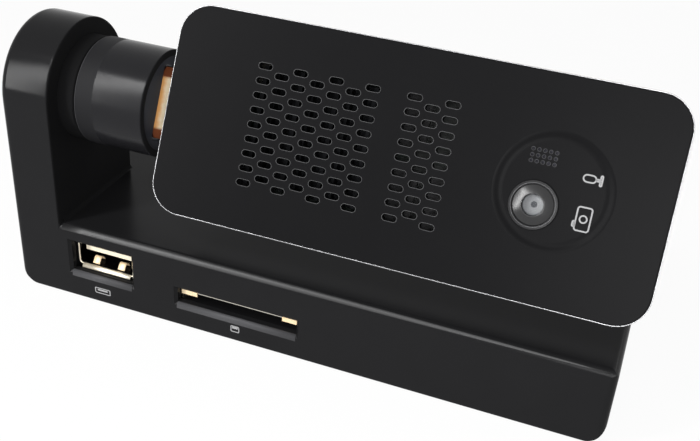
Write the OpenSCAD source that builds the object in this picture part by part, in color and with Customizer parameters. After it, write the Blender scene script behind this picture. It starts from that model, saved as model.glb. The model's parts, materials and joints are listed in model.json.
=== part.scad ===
// Stick computer with a camera, plugged into a swivelling socket on an L-shaped dock.
// Millimetres. The origin is on the table under the swivel's axis, half way along the dock.
// +X runs along the dock from the arm to the free end, the port face looks to -Y, and +Z is up.

/* [Dock] */
// Length of the dock
dock_l = 122; // [112:1:140]
// Depth of the arm, and of its round top
arm_d = 27.4; // [26.6:0.1:34]
// How far the bar reaches behind the arm
bar_back = 10; // [7:0.1:14]
// Height of the dock's bar
dock_h = 16.7; // [16:0.1:22]
// Thickness of the arm
arm_t = 10.6; // [10:0.1:14]
// Height of the swivel's axis above the dock's underside
axis_h = 41.4; // [40:0.1:50]
// Wall of the dock's housing
wall = 1.8; // [1.4:0.1:2.2]
// Rounding of the housing's long edges
edge_r = 1.5; // [0.8:0.1:1.7]
// Rounding of the arm's edges beside the swivel
arm_edge = 0.4; // [0.2:0.1:0.8]
// Rounding of the corner under the arm
corner_r = 5; // [3:0.1:6]
// Rounding of the free end's lower corner
end_r = 4.6; // [2:0.1:5]
// Fillet between the arm and the bar's top
bend_r = 0.8; // [0.4:0.1:2]
// Thickness of the bottom cover and the arm cover
cover_t = 1.6; // [1.4:0.1:2]
// Ledge that the covers sit on
ledge = 0.8; // [0.5:0.1:1]
// Thickness of the rubber pad
pad_t = 1.2; // [1:0.1:1.5]
// Length of the rubber pad
pad_l = 92; // [60:1:96]
// Width of the rubber pad
pad_w = 22; // [14:0.1:24]
// How far the pad stands below the bottom cover
pad_proud = 0.4; // [0.3:0.1:0.8]
// Height of the circuit board's underside above the dock's underside
dock_board_z = 3.2; // [2.8:0.1:3.4]
// Thickness of the dock's circuit board
dock_board_t = 1.2; // [0.8:0.1:1.2]

/* [Swivel] */
// Length of the fixed collar on the arm
collar_l = 3.5; // [2.5:0.1:5]
// Radius of the collar
collar_r = 10.4; // [10:0.1:11]
// Gap between the collar and the barrel
seam = 0.3; // [0.2:0.05:0.6]
// Radius of the barrel
barrel_r = 10.6; // [10.2:0.1:12]
// Length of the barrel
barrel_l = 14.3; // [13.8:0.1:18]
// Thickness of the barrel's end rim
rim_t = 1.2; // [0.8:0.1:1.6]
// Depth of the recess inside the end rim
recess = 1.5; // [0.8:0.1:1.8]
// Radius of the journal that turns in the collar
journal_r = 6.6; // [6.2:0.1:7]
// Radius of the wire passage through the journal
passage_r = 3.6; // [3:0.1:4]
// Thickness of the friction washer
washer_t = 0.5; // [0.3:0.1:0.6]
// Thickness of the retaining ring
ring_t = 1; // [0.8:0.1:1.2]
// Turn from rest to the stop that tips the stick forward, in degrees
turn_forward = 45; // [20:1:60]
// Turn from rest to the stop that lays the stick back, in degrees
turn_back = 64; // [30:1:80]

/* [Stick] */
// Length of the stick
stick_l = 92.4; // [88:0.1:110]
// Width of the stick
stick_w = 39.2; // [38:0.1:44]
// Thickness of the stick
stick_t = 12.6; // [12.2:0.1:15]
// Distance of the front face ahead of the swivel's axis
face_off = 7; // [6.6:0.1:8]
// Lean of the stick from upright at rest, in degrees
lean = 25.6; // [0:0.1:40]
// Thickness of the front plate
plate_t = 1.6; // [1.4:0.1:2]
// Corner radius of the front plate
plate_r = 6; // [4:0.1:7]
// Chamfer round the front plate
plate_chamfer = 0.35; // [0.2:0.05:0.6]
// How far the rear casing sits back from the plate's edge
back_inset = 0.4; // [0.2:0.1:1]
// Rounding of the rear casing's back edge
back_round = 2.2; // [1:0.1:2.6]
// Wall of the rear casing
back_wall = 1.4; // [1.1:0.1:1.6]
// Thickness of the stick's circuit board
board_t = 1; // [0.8:0.1:1.2]

/* [Vents] */
// Length of a vent slot
slot_l = 2.7; // [2:0.1:2.9]
// Height of a vent slot
slot_h = 1.15; // [0.8:0.05:1.3]
// Step between columns
vent_dx = 3.42; // [3.2:0.02:3.6]
// Step between rows
vent_dy = 2.68; // [2.5:0.02:2.8]
// Rows in a tall column
vent_rows = 9; // [5:1:9]
// Columns in the left grid
vent_cols_a = 7; // [3:2:7]
// Columns in the right grid
vent_cols_b = 3; // [1:2:3]
// First column of the left grid, from the plug end
vent_a_x = 18.1; // [16:0.1:19]
// First column of the right grid, from the plug end
vent_b_x = 46.3; // [44:0.1:47]

/* [Camera] */
// Distance of the lens from the stick's free end
lens_in = 22.4; // [21:0.1:24]
// Drop of the lens below the stick's middle
lens_drop = 2.9; // [2.6:0.1:3.4]
// Radius of the lens opening in the plate
lens_hole_r = 3.9; // [3.7:0.1:4.2]
// Radius of the lens barrel
lens_r = 3; // [2.6:0.1:3.1]
// Radius of the front lens
glass_r = 1.9; // [1.5:0.1:2.1]
// Distance of the dish from the stick's free end
dish_in = 19.6; // [18.8:0.1:21]
// Width of the dish's sloping wall
dish_wall = 2.2; // [1.5:0.1:3]
// Depth of the dish
dish_depth = 0.5; // [0.3:0.05:0.6]
// Height of the microphone holes above the stick's middle
mic_up = 5.4; // [5.2:0.1:6]
// Step between microphone holes
mic_step = 1; // [0.9:0.02:1.1]
// Radius of a microphone hole
mic_r = 0.28; // [0.2:0.02:0.32]

/* [Plug and sockets] */
// Width of the video plug
plug_w = 13.9; // [13.4:0.1:14.2]
// Height of the video plug
plug_h = 4.45; // [4.2:0.05:4.6]
// Width of the plug's narrow face
plug_flat = 10.2; // [9.6:0.1:10.6]
// Height of the plug's slanted sides
plug_slant = 1.6; // [1.2:0.1:2]
// Length of the plug ahead of the stick
plug_l = 12.9; // [12.4:0.1:14]
// Sheet thickness of plug and socket shells
sheet = 0.35; // [0.25:0.05:0.4]
// Clearance between plug and socket
plug_fit = 0.15; // [0.12:0.01:0.2]
// Depth of a video socket
socket_depth = 10; // [9.6:0.1:10.2]
// Thickness of a video socket's tongue
tongue_t = 1.5; // [1.2:0.1:1.6]
// Width of the USB cut-out
usb_cut_w = 13.8; // [13.7:0.1:14.6]
// Height of the USB cut-out
usb_cut_h = 6.8; // [6.3:0.1:7.2]
// Middle of the USB cut-out, from the arm's outer face
usb_x = 19.6; // [19.4:0.1:21]
// Middle of the USB cut-out above the dock's underside
usb_z = 9.7; // [9.5:0.1:10.2]
// Width of the card slot
sd_cut_w = 25.6; // [25.4:0.1:26.4]
// Height of the card slot
sd_cut_h = 3.2; // [2.8:0.1:3.4]
// Middle of the card slot, from the arm's outer face
sd_x = 49.5; // [48:0.1:53]
// Lower lip of the card slot above the dock's underside
sd_z = 5.5; // [5.4:0.1:5.8]
// Depth of the card socket
sd_depth = 26; // [20:0.1:28]
// Chamfer round the front cut-outs
lip = 0.6; // [0.3:0.1:0.8]
// Middle of the rear video outlet, from the free end
out_in = 38; // [34:0.5:42]
// Middle of the power inlet, from the free end
power_in = 18; // [17:0.5:20]
// Bore of the power inlet
power_r = 2.75; // [2.5:0.05:3]

/* [Hidden] */
$fn = 64;
// Clearance between pieces that are fitted together and don't move
fit = 0.05;
// Radial clearance of the journal in the collar
journal_fit = 0.06;
// Axial clearance beside the friction washer
washer_gap = 0.1;
// Room left between pieces that don't touch
room = 0.4;
// Overrun of cutting shapes
cut = 1;

// Planes of the dock and the swivel
arm_r = arm_d / 2;
x_left = -dock_l / 2;
x_right = dock_l / 2;
x_arm = x_left + arm_t;
x_barrel = x_arm + collar_l + seam;
x_rim = x_barrel + barrel_l;
x_mouth = x_rim - recess;
x_out = x_right - out_in;
x_power = x_right - power_in;
y_front = -arm_r;
y_back = arm_r + bar_back;
y_in = y_back - wall;
y_mid = (y_front + y_back) / 2;
half_in = y_in - y_mid;
z_dock = pad_proud;
z_axis = z_dock + axis_h;
z_board = z_dock + dock_board_z;
z_parts = z_board + dock_board_t;
foot_edge = 0.6;
collar_edge = 0.4;
barrel_edge = 0.3;
pad_round = 3;

// Screws of the dock and the posts that take them, which are sunk into the side walls
screw_r = 1;
screw_head_r = 1.7;
screw_head_t = 0.9;
screw_l = 8;
post_r = 2.2;
post_sink = 0.6;
cavity_in = 2;
post_gap = 0.7;
screw_spare = 0.5;
cavity_x0 = x_left + corner_r + cavity_in;
cavity_x1 = x_right - end_r - cavity_in;
post_x0 = cavity_x0 + post_r + post_gap;
post_x1 = cavity_x1 - post_r - post_gap;
post_y = half_in - post_r + post_sink;
board_x0 = post_x0 + post_r + 2 * room;
board_x1 = post_x1 - post_r - room;
board_y = half_in - 2 * room;
standoff_r = 1.6;

// Arm cavity: its wall is thick enough for the cover's ledge
arm_cavity_r = arm_r - wall - ledge - fit;
arm_sill = 1.2;
arm_low_z = z_dock + corner_r + arm_sill + ledge + arm_cavity_r;

// Swivel parts inside the arm
x_wall_in = x_arm - wall;
x_washer = x_wall_in - washer_gap - washer_t;
x_ring = x_washer - fit - ring_t;
journal_end = 0.8;
x_journal = x_ring - journal_end;
groove_d = 0.8;
ring_w = 1.7;
ring_r = journal_r + ring_w;
stop_r = 0.8;
stop_at = ring_r + stop_r + room;
tab_w = 2.2;
tab_r = stop_at + stop_r;
stop_margin = 2;
stop_over = 0.3;
stop_sink = 0.3;
stop_spread = asin(tab_w / 2 / stop_at) + asin(stop_r / stop_at) + stop_margin;

// Chips on the dock's board
dock_chip_t = 1;
hub_x = 69.5;
hub_y = -5;
hub_w = 9;
reader_x = 31.4;
reader_y = 4;
reader_w = 6;

// Depths in the stick, counted from the front face, negative inwards
z_plate = -plate_t;
z_dish = -dish_depth;
z_sboard = -face_off;
z_back = -stick_t;
back_floor = z_back + back_wall;
boss_up = 1.2;
boss_split = z_sboard + boss_up;

// Screws of the stick and the bosses that take them
pin_r = 0.7;
pin_head_r = 1.5;
pin_head_t = 0.8;
pin_bite = 3;
boss_r = 2;
boss_sink = 0.2;
pin_spare = 0.3;
// The bosses stand just clear of the casing's round inner corners
corner_room = plate_r - back_inset - back_wall - boss_r - room / 2;
post_in = plate_r - corner_room / sqrt(2);

// Circuit board of the stick
board_x = post_in + boss_r + 2 * room;
board_l = stick_l - 2 * board_x;
board_w = stick_w - 2 * (back_inset + back_wall + 2 * room);

// Main chip on the stick's board: centre x, centre y, length, width, height
soc = [28, 0, 15, 15, 1.2];

// Antenna near the free end of the board
antenna_in = 6;
antenna_y = 8;
antenna_l = 9;
antenna_w = 3.2;
antenna_t = 1.2;

// Heat sink on the main chip
pad_h = 0.5;
sink_l = 22;
sink_w = 22;
sink_base = 0.8;
sink_gap = 0.9;
sink_h = face_off - plate_t - soc[4] - pad_h - sink_gap;
fin_t = 0.8;
fin_step = 2.2;

// Camera and microphone
dish_x = stick_l - dish_in;
lens_x = stick_l - lens_in;
lens_y = -lens_drop;
holder_w = 8.4;
holder_gap = 1.7;
holder_h = face_off - plate_t - holder_gap;
sensor_w = 5.4;
sensor_h = 0.7;
sensor_room = sensor_w + 2 * room;
bezel_wall = 0.3;
window_r = lens_hole_r - bezel_wall;
window_t = 0.3;
window_seat = 0.4;
z_window = z_dish - window_t;
window_gap = 0.2;
lens_front = z_window - window_gap;
lens_cone = 0.8;
lens_rim = 0.3;
lens_back = 0.6;
glass_t = 1.6;
glass_dome = 5.7;
bezel_w = 0.45;
bezel_t = 0.3;
bezel_slope = 0.2;
// The dish's floor just takes the bezel, and its wall rises in two arcs to cut the face at a slight angle
dish_gap = 0.1;
dish_floor = norm([lens_in - dish_in, lens_drop]) + lens_hole_r + bezel_w + dish_gap;
dish_r = dish_floor + dish_wall;
dish_lift = 0.03;
dish_rise = dish_depth + dish_lift;
dish_arc = (dish_wall * dish_wall + dish_rise * dish_rise) / (4 * dish_rise);
mic_cols = 5;
mic_rows = 3;
mic_can_l = 5.6;
mic_can_w = 3.8;
mic_can_t = 1.4;

// Video plug and sockets
plug_c = (plug_w - plug_flat) / 2;
plug_q = norm([plug_c, plug_slant]);
socket_grow = plug_fit + sheet;
contact_w = 0.4;
contact_t = 0.1;
contact_step = 1;
contact_count = 10;
contact_short = 0.4;
tongue_w = 11;
tongue_back = 1.2;
// The plug's tip stays just clear of the socket's floor, which sets the gap beside the stick
stick_gap = plug_l + tongue_back + room - socket_depth - recess;
x_stick = x_rim + stick_gap;
tongue_short = 1;
core_in = 6;
x_core = x_mouth - tongue_short + room;
spring_t = 0.2;
spring_gap = 0.3;
spring_z = tongue_t / 2 + contact_t + spring_gap;
spring_in = 1.2;
tail_l = 2.4;

// Memory and flash chips stand in the length between the main chip and the camera's holder.
// The free length there is shared out in proportion to these gaps, from the main chip on.
chip_gaps = [4, 2, 4.3];
memory_l = 9;
flash_l = 11;
chips_x0 = soc[0] + soc[2] / 2;
chips_x1 = lens_x - holder_w / 2;
chips_free = (chips_x1 - chips_x0 - memory_l - flash_l) / (chip_gaps[0] + chip_gaps[1] + chip_gaps[2]);
memory_x = chips_x0 + chip_gaps[0] * chips_free + memory_l / 2;
flash_x = chips_x1 - chip_gaps[2] * chips_free - flash_l / 2;
memory = [memory_x, 8, memory_l, 12, 1.1];
flash = [flash_x, -8, flash_l, 11, 1.1];

// Power chip in from the board's lower edge, and radio between the plug's last tail and the upper edge
power_chip_w = 6;
power_chip_in = 3;
power_chip_y = power_chip_in + power_chip_w / 2 - board_w / 2;
radio_out = 0.15;
radio_y = (contact_place(contact_count - 1) + contact_w / 2 + board_w / 2) / 2 + radio_out;
power_ic = [14, power_chip_y, power_chip_w, power_chip_w, 1];
radio = [14, radio_y, 11.5, 10.5, 1.3];

// USB socket
usb_w = 13.1;
usb_h = 5.7;
usb_round = 0.8;
usb_depth = 12.6;
usb_sunk = 0.6;
usb_y = y_front + wall + usb_sunk;
usb_tongue_w = 11.1;
usb_tongue_t = 1.84;
usb_tongue_up = 0.95;
usb_tongue_in = 1.2;
usb_plug_back = 3.5;
usb_back_t = 0.5;
usb_foot_w = 10;
usb_foot_in = 4.2;
usb_contact_w = 1;
usb_contact_t = 0.15;
usb_contact_in = 0.6;
usb_inner_x = 1;
usb_outer_x = 3.5;

// Wires and their connector on the dock's board
wire_r = 1.2;
wire_gap = 0.3;
turn_gap = 1;
x_wires = x_journal - room - wire_r;
z_run = arm_low_z - arm_cavity_r + wire_r + room;
header_l = 5;
header_w = 3;
header_x = board_x0 + room;
header_y = usb_y + usb_depth + usb_back_t + room + header_w / 2;

// Card socket
sd_w = sd_cut_w - room;
sd_sunk = 0.3;
sd_under = 0.5;
sd_y = y_front + wall + sd_sunk;
sd_floor = sd_z - dock_board_z - dock_board_t - sd_under;
sd_inner_h = 2.3;
sd_sheet = 0.25;
sd_back_t = 2;
sd_contact_step = 2.5;
sd_contact_w = 1.2;
sd_contact_l = 8;
sd_contact_t = 0.15;
sd_clip_l = 3.4;
sd_clip_d = 2;
sd_clip_t = 0.5;

// Rear sockets
out_sunk = 0.2;
out_lip = 0.2;
out_z = z_parts + plug_h / 2 + socket_grow;
power_w = 9;
power_h = 9.6;
power_z = z_parts + power_h / 2;
power_depth = 12;
power_back_t = 2;
power_pin_r = 0.65;
power_pin_in = 1;
power_lip = 0.6;

// Shapes that several pieces share

// Extrusion along +X of an outline drawn in Y and Z
module along_x(x, length) {
    translate([x, 0, 0])
        rotate([90, 0, 90])
            linear_extrude(length)
                children();
}

// Extrusion along +Y of an outline drawn in X and Z
module along_y(y, length) {
    translate([0, y + length, 0])
        rotate([90, 0, 0])
            linear_extrude(length)
                children();
}

// Turned piece about the swivel's axis: the outline's first coordinate is the radius, its second is X
module about_axis() {
    translate([0, 0, z_axis])
        rotate([0, 90, 0])
            rotate_extrude()
                children();
}

// Outline of one corner's waste: a square less a quarter circle
module corner_waste(r) {
    difference() {
        translate([-cut, -cut])
            square(r + cut);
        translate([r, r])
            circle(r);
    }
}

// Rectangle from low to high with its own radius at each corner, anticlockwise from low left
module rect_round(low, high, radii) {
    difference() {
        translate(low)
            square(high - low);
        if (radii[0] > 0)
            translate(low)
                corner_waste(radii[0]);
        if (radii[1] > 0)
            translate([high[0], low[1]])
                mirror([1, 0])
                    corner_waste(radii[1]);
        if (radii[2] > 0)
            translate(high)
                rotate(180)
                    corner_waste(radii[2]);
        if (radii[3] > 0)
            translate([low[0], high[1]])
                mirror([0, 1])
                    corner_waste(radii[3]);
    }
}

// Centred rectangle with round corners
module round_rect(l, w, r) {
    rect_round([-l / 2, -w / 2], [l / 2, w / 2], [r, r, r, r]);
}

// Slot with round ends along its length
module slot(l, h) {
    square([l - h, h], center = true);
    for (side = [-1, 1])
        translate([side * (l - h) / 2, 0])
            circle(h / 2, $fn = 24);
}

// Outline of the arm's side in Y and Z, drawn in by a distance, from a lower level to the round top
module arm_side(r, low) {
    translate([0, z_axis])
        circle(r);
    translate([-r, low])
        square([2 * r, z_axis - low]);
}

// Closed stadium in Y and Z round the arm's axis and a lower centre
module arm_stadium(r) {
    arm_side(r, arm_low_z);
    translate([0, arm_low_z])
        circle(r);
}

// Waste round the rim of a rectangular plate of corner radius r, whose face is at z = 0.
// The child outline's first axis runs in from the plate's edge and its second runs down from the face.
module rim_waste(l, w, r) {
    for (turn = [0, 180])
        rotate(turn) {
            translate([-(l / 2 - r), -w / 2, 0])
                rotate([90, 0, 90])
                    linear_extrude(l - 2 * r)
                        mirror([0, 1])
                            children();
            translate([-l / 2, w / 2 - r, 0])
                rotate([90, 0, 0])
                    linear_extrude(w - 2 * r)
                        mirror([0, 1])
                            children();
        }
    for (sx = [0, 1], sy = [0, 1])
        mirror([sx, 0, 0])
            mirror([0, sy, 0])
                translate([l / 2 - r, w / 2 - r, 0])
                    rotate_extrude(angle = 90)
                        translate([r, 0])
                            rotate(180)
                                children();
}

// Waste of a chamfer
module chamfer_waste(c) {
    polygon([[-cut, -cut], [c + cut, -cut], [-cut, c + cut]]);
}

// Outline of the video plug in Y and Z, grown by a distance, with its narrow face to the front
module plug_outline(grow) {
    wide = plug_w / 2 + grow;
    narrow = plug_flat / 2 + grow * (plug_q - plug_c) / plug_slant;
    front = -plug_h / 2 - grow;
    back = plug_h / 2 + grow;
    knee = -plug_h / 2 + plug_slant + grow * (plug_slant - plug_q) / plug_c;
    polygon([[back, wide], [knee, wide], [front, narrow], [front, -narrow], [knee, -wide], [back, -wide]]);
}

// Places what turns with the stick: X as in the dock, drawn upright about the swivel's axis
module leaning() {
    translate([0, 0, z_axis])
        rotate([-lean, 0, 0])
            children();
}

// Places the stick's pieces: X from the plug end, Y up the width, Z out of the front face
module in_stick() {
    leaning()
        translate([x_stick, -face_off, 0])
            rotate([90, 0, 0])
                children();
}

// Block on the stick's board, from its list of centre, length, width and height
module on_board(chip, z) {
    translate([chip[0] - chip[2] / 2, chip[1] - chip[3] / 2, z])
        cube([chip[2], chip[3], chip[4]]);
}

// Screw along +Z with its countersunk head's face at z = 0
module screw(shank_r, head_r, head_t, length) {
    cylinder(h = head_t, r1 = head_r, r2 = shank_r);
    cylinder(h = length, r = shank_r);
}

// Places of the dock's four screws
module at_posts() {
    for (x = [post_x0, post_x1], side = [-1, 1])
        translate([x, y_mid + side * post_y, z_dock])
            children();
}

// Places of the stick's four screws, on the rear face
module at_bosses() {
    for (x = [post_in, stick_l - post_in], side = [-1, 1])
        translate([x, side * (stick_w / 2 - post_in), z_back])
            children();
}

// Place of a contact in its row, across the plug
function contact_place(i) = (i - (contact_count - 1) / 2) * contact_step;

// Two staggered rows of contact strips along X, drawn about the axis, with their inner faces at z_in from it
module contact_rows(x, length, z_in, t) {
    for (row = [0, 1], i = [0 : contact_count - 1 - row])
        translate([x, row ? -z_in - t : z_in, contact_place(i + row / 2) - contact_w / 2])
            cube([length, t, contact_w]);
}

// Shell, insulator and contacts of a video socket whose mouth is at x = 0 and looks to +X
module video_shell() {
    difference() {
        along_x(-socket_depth, socket_depth)
            plug_outline(socket_grow);
        along_x(-socket_depth - cut, socket_depth + 2 * cut)
            plug_outline(plug_fit);
    }
}

module video_insulator() {
    along_x(-socket_depth, tongue_back)
        plug_outline(plug_fit - fit);
    translate([-socket_depth, -tongue_t / 2, -tongue_w / 2])
        cube([socket_depth - tongue_short, tongue_t, tongue_w]);
}

module video_contacts() {
    length = socket_depth - tongue_back - tongue_short - contact_short;
    contact_rows(tongue_back - socket_depth, length, tongue_t / 2, contact_t);
}

// Places the rear video outlet, which looks to +Y with its narrow face down
module at_outlet() {
    translate([x_out, y_back - wall - out_sunk, out_z])
        rotate([90, 0, 90])
            children();
}

// Dock

// Solid outside of the dock: arm, collar, bar and the fillet between them
module dock_outside() {
    module arm() {
        translate([0, 0, z_axis - axis_h + dock_h / 2])
            linear_extrude(axis_h - dock_h / 2)
                rect_round([x_left, -arm_r], [x_arm, arm_r], [edge_r, arm_edge, arm_edge, edge_r]);
        about_axis()
            rect_round([0, x_left], [arm_r, x_arm], [0, edge_r, arm_edge, 0]);
        about_axis()
            rect_round([0, x_arm - cut], [collar_r, x_arm + collar_l], [0, 0, collar_edge, 0]);
    }
    module bar() {
        top = z_dock + dock_h;
        intersection() {
            along_x(x_left, dock_l)
                rect_round([y_front, z_dock], [y_back, top], [foot_edge, foot_edge, edge_r, edge_r]);
            along_y(y_front, y_back - y_front)
                rect_round([x_left, z_dock], [x_right, top], [corner_r, end_r, edge_r, edge_r]);
            translate([0, 0, z_dock])
                linear_extrude(dock_h)
                    rect_round([x_left, y_front], [x_right, y_back], [edge_r, edge_r, edge_r, edge_r]);
        }
    }
    // Outline of a fillet, let into both its faces
    module fillet() {
        difference() {
            translate([-arm_edge, -arm_edge])
                square(bend_r + arm_edge);
            translate([bend_r, bend_r])
                circle(bend_r);
        }
    }
    // Fillets on the bar's top, along the arm's cheek and along its back
    module bends() {
        top = z_dock + dock_h;
        along_y(y_front + edge_r, arm_d - edge_r - arm_edge)
            translate([x_arm, top])
                fillet();
        along_x(x_left + edge_r, arm_t - edge_r - arm_edge)
            translate([arm_r, top])
                fillet();
    }
    difference() {
        union() {
            arm();
            bar();
            bends();
        }
        along_y(y_front - cut, y_back - y_front + 2 * cut)
            translate([x_left, z_dock])
                corner_waste(corner_r);
    }
}

// Space inside the bar, in plan, grown by a distance
module bar_plan(grow) {
    translate([cavity_x0 - grow, y_mid - half_in - grow])
        square([cavity_x1 - cavity_x0 + 2 * grow, 2 * (half_in + grow)]);
}

// Cut-out in the port face with a chamfered lip all round
module front_cut(x, low, w, h) {
    reach = lip + cut;
    x_low = x_left + x - w / 2;
    x_high = x_low + w;
    along_y(y_front - cut, wall + 2 * cut)
        translate([x_low, low])
            square([w, h]);
    intersection() {
        along_x(x_low - reach, w + 2 * reach)
            polygon([[y_front - cut, low - reach], [y_front + lip, low],
                [y_front + lip, low + h], [y_front - cut, low + h + reach]]);
        translate([0, 0, low - reach])
            linear_extrude(h + 2 * reach)
                polygon([[x_low - reach, y_front - cut], [x_low, y_front + lip],
                    [x_high, y_front + lip], [x_high + reach, y_front - cut]]);
    }
}

module dock_shell() {
    module inside() {
        difference() {
            union() {
                translate([0, 0, z_dock - cut])
                    linear_extrude(dock_h - wall + cut)
                        bar_plan(0);
                along_x(x_left + cover_t, arm_t - wall - cover_t)
                    arm_stadium(arm_cavity_r);
            }
            at_posts()
                cylinder(h = dock_h, r = post_r);
        }
        translate([0, 0, z_dock - cut])
            linear_extrude(cover_t + cut)
                bar_plan(ledge);
        along_x(x_left - cut, cover_t + cut)
            arm_stadium(arm_cavity_r + ledge);
    }
    // Posts in the arm that stop the swivel's tab
    module stops() {
        for (turn = [turn_forward + stop_spread, -turn_back - stop_spread])
            translate([x_ring - stop_over, 0, z_axis])
                rotate([turn, 0, 0])
                    translate([0, 0, stop_at])
                        rotate([0, 90, 0])
                            cylinder(h = x_wall_in - x_ring + stop_over + stop_sink, r = stop_r);
    }
    color("#232324")
        difference() {
            union() {
                difference() {
                    dock_outside();
                    inside();
                }
                stops();
            }
            // Bearing for the journal
            translate([x_wall_in - cut, 0, z_axis])
                rotate([0, 90, 0])
                    cylinder(h = wall + collar_l + 2 * cut, r = journal_r + journal_fit);
            // Pilot holes in the screw posts
            at_posts()
                cylinder(h = screw_l + screw_spare, r = screw_r + fit);
            front_cut(usb_x, z_dock + usb_z - usb_cut_h / 2, usb_cut_w, usb_cut_h);
            front_cut(sd_x, z_dock + sd_z, sd_cut_w, sd_cut_h);
            at_outlet()
                along_x(-cut, wall + 2 * cut)
                    plug_outline(socket_grow + out_lip);
            translate([x_power, y_back + cut, power_z])
                rotate([90, 0, 0])
                    cylinder(h = wall + 2 * cut, r = power_r + power_lip);
        }
}

module dock_bottom() {
    color("#1e1e1f")
        difference() {
            union() {
                translate([0, 0, z_dock])
                    linear_extrude(cover_t)
                        bar_plan(ledge - 2 * fit);
                // Standoffs under the board
                for (x = [board_x0 + 2 * standoff_r, board_x1 - 2 * standoff_r], side = [-1, 1])
                    translate([x, y_mid + side * (board_y - 2 * standoff_r), z_dock])
                        cylinder(h = dock_board_z, r = standoff_r);
            }
            translate([0, y_mid, z_dock - cut])
                linear_extrude(pad_t - pad_proud + cut)
                    round_rect(pad_l + 2 * fit, pad_w + 2 * fit, pad_round);
            at_posts() {
                screw(screw_r + fit, screw_head_r + fit, screw_head_t, screw_l);
                translate([0, 0, -cut])
                    cylinder(h = cut, r = screw_head_r + fit);
            }
        }
}

module arm_cover() {
    color("#1e1e1f")
        along_x(x_left, cover_t)
            arm_stadium(arm_cavity_r + ledge - 2 * fit);
}

module dock_screws() {
    color("#3c3c3e")
        at_posts()
            screw(screw_r, screw_head_r, screw_head_t, screw_l);
}

module rubber_pad() {
    color("#141414")
        translate([0, y_mid, 0])
            linear_extrude(pad_t)
                round_rect(pad_l, pad_w, pad_round);
}

module dock_board() {
    color("#1d4a2c")
        translate([board_x0, y_mid - board_y, z_board])
            cube([board_x1 - board_x0, 2 * board_y, dock_board_t]);
}

// Places the USB socket's pieces: Y from its rim inwards, about the middle of its mouth
module in_usb() {
    translate([x_left + usb_x, usb_y, z_dock + usb_z])
        children();
}

module usb_shell() {
    color("#cfcac0")
        in_usb()
            along_y(0, usb_depth)
                difference() {
                    round_rect(usb_w, usb_h, usb_round);
                    round_rect(usb_w - 2 * sheet, usb_h - 2 * sheet, usb_round - sheet);
                }
}

module usb_insulator() {
    inner_w = usb_w - 2 * (sheet + fit);
    inner_h = usb_h - 2 * (sheet + fit);
    foot_h = usb_z - usb_h / 2 - dock_board_z - dock_board_t;
    color("#e6dfd0")
        in_usb() {
            along_y(usb_depth - usb_plug_back, usb_plug_back)
                round_rect(inner_w, inner_h, usb_round - sheet);
            translate([-usb_tongue_w / 2, usb_tongue_in, usb_tongue_up - usb_tongue_t / 2])
                cube([usb_tongue_w, usb_depth - usb_tongue_in, usb_tongue_t]);
            // Rear wall and foot that stand the socket on the board
            translate([-usb_foot_w / 2, usb_depth, -usb_h / 2 - foot_h])
                cube([usb_foot_w, usb_back_t, usb_h + foot_h]);
            translate([-usb_foot_w / 2, usb_foot_in, -usb_h / 2 - foot_h])
                cube([usb_foot_w, usb_depth - usb_foot_in + usb_back_t, foot_h]);
        }
}

module usb_contacts() {
    start = usb_tongue_in + usb_contact_in;
    under = usb_tongue_up - usb_tongue_t / 2;
    color("#d9b25f")
        in_usb()
            for (side = [-1, 1], x = [usb_inner_x, usb_outer_x])
                translate([side * x - usb_contact_w / 2, start, under - usb_contact_t])
                    cube([usb_contact_w, usb_depth - usb_plug_back - start, usb_contact_t]);
}

// Places the card socket's pieces: Y from its mouth inwards, Z up from the board
module in_sd() {
    translate([x_left + sd_x, sd_y, z_parts])
        children();
}

module sd_shell() {
    high = sd_floor + sd_inner_h;
    color("#c9c9c6")
        in_sd()
            along_y(0, sd_depth)
                difference() {
                    translate([-sd_w / 2, 0])
                        square([sd_w, high + sd_sheet]);
                    translate([sd_sheet - sd_w / 2, -cut])
                        square([sd_w - 2 * sd_sheet, high + cut]);
                }
}

module sd_base() {
    inner = sd_w - 2 * (sd_sheet + fit);
    color("#1b1b1d")
        in_sd()
            translate([-inner / 2, 0, 0]) {
                cube([inner, sd_depth, sd_floor]);
                translate([0, sd_depth - sd_back_t, 0])
                    cube([inner, sd_back_t, sd_floor + sd_inner_h]);
            }
}

module sd_contacts() {
    start = sd_depth - sd_back_t - sd_contact_l;
    color("#d9b25f")
        in_sd()
            for (i = [-4 : 4])
                translate([i * sd_contact_step - sd_contact_w / 2, start, sd_floor])
                    cube([sd_contact_w, sd_contact_l, sd_contact_t]);
}

// Gilt clips on the front corners of the card socket's shell
module sd_clips() {
    top = sd_floor + sd_inner_h + sd_sheet;
    color("#e0bd74")
        in_sd()
            for (side = [-1, 1])
                translate([(side * (sd_w - sd_clip_l) - sd_clip_l) / 2, 0, top])
                    cube([sd_clip_l, sd_clip_d, sd_clip_t]);
}

module hdmi_out_shell() {
    color("#b9b7b2")
        at_outlet()
            video_shell();
}

module hdmi_out_insulator() {
    color("#161617")
        at_outlet()
            video_insulator();
}

module hdmi_out_contacts() {
    color("#d9b25f")
        at_outlet()
            video_contacts();
}

module power_shell() {
    color("#19191a")
        difference() {
            translate([x_power - power_w / 2, y_in - power_depth, z_parts])
                cube([power_w, power_depth, power_h]);
            translate([x_power, y_in + cut, power_z])
                rotate([90, 0, 0])
                    cylinder(h = power_depth - power_back_t + cut, r = power_r);
        }
}

module power_pin() {
    color("#c8c4bb")
        translate([x_power, y_in - power_pin_in, power_z])
            rotate([90, 0, 0])
                cylinder(h = power_depth - power_back_t - power_pin_in, r = power_pin_r);
}

// Square chip on the dock's board
module dock_chip(x, y, side) {
    color("#1f1f21")
        translate([x_left + x - side / 2, y - side / 2, z_parts])
            cube([side, side, dock_chip_t]);
}

module hub_chip() {
    dock_chip(hub_x, hub_y, hub_w);
}

module reader_chip() {
    dock_chip(reader_x, reader_y, reader_w);
}

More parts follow.
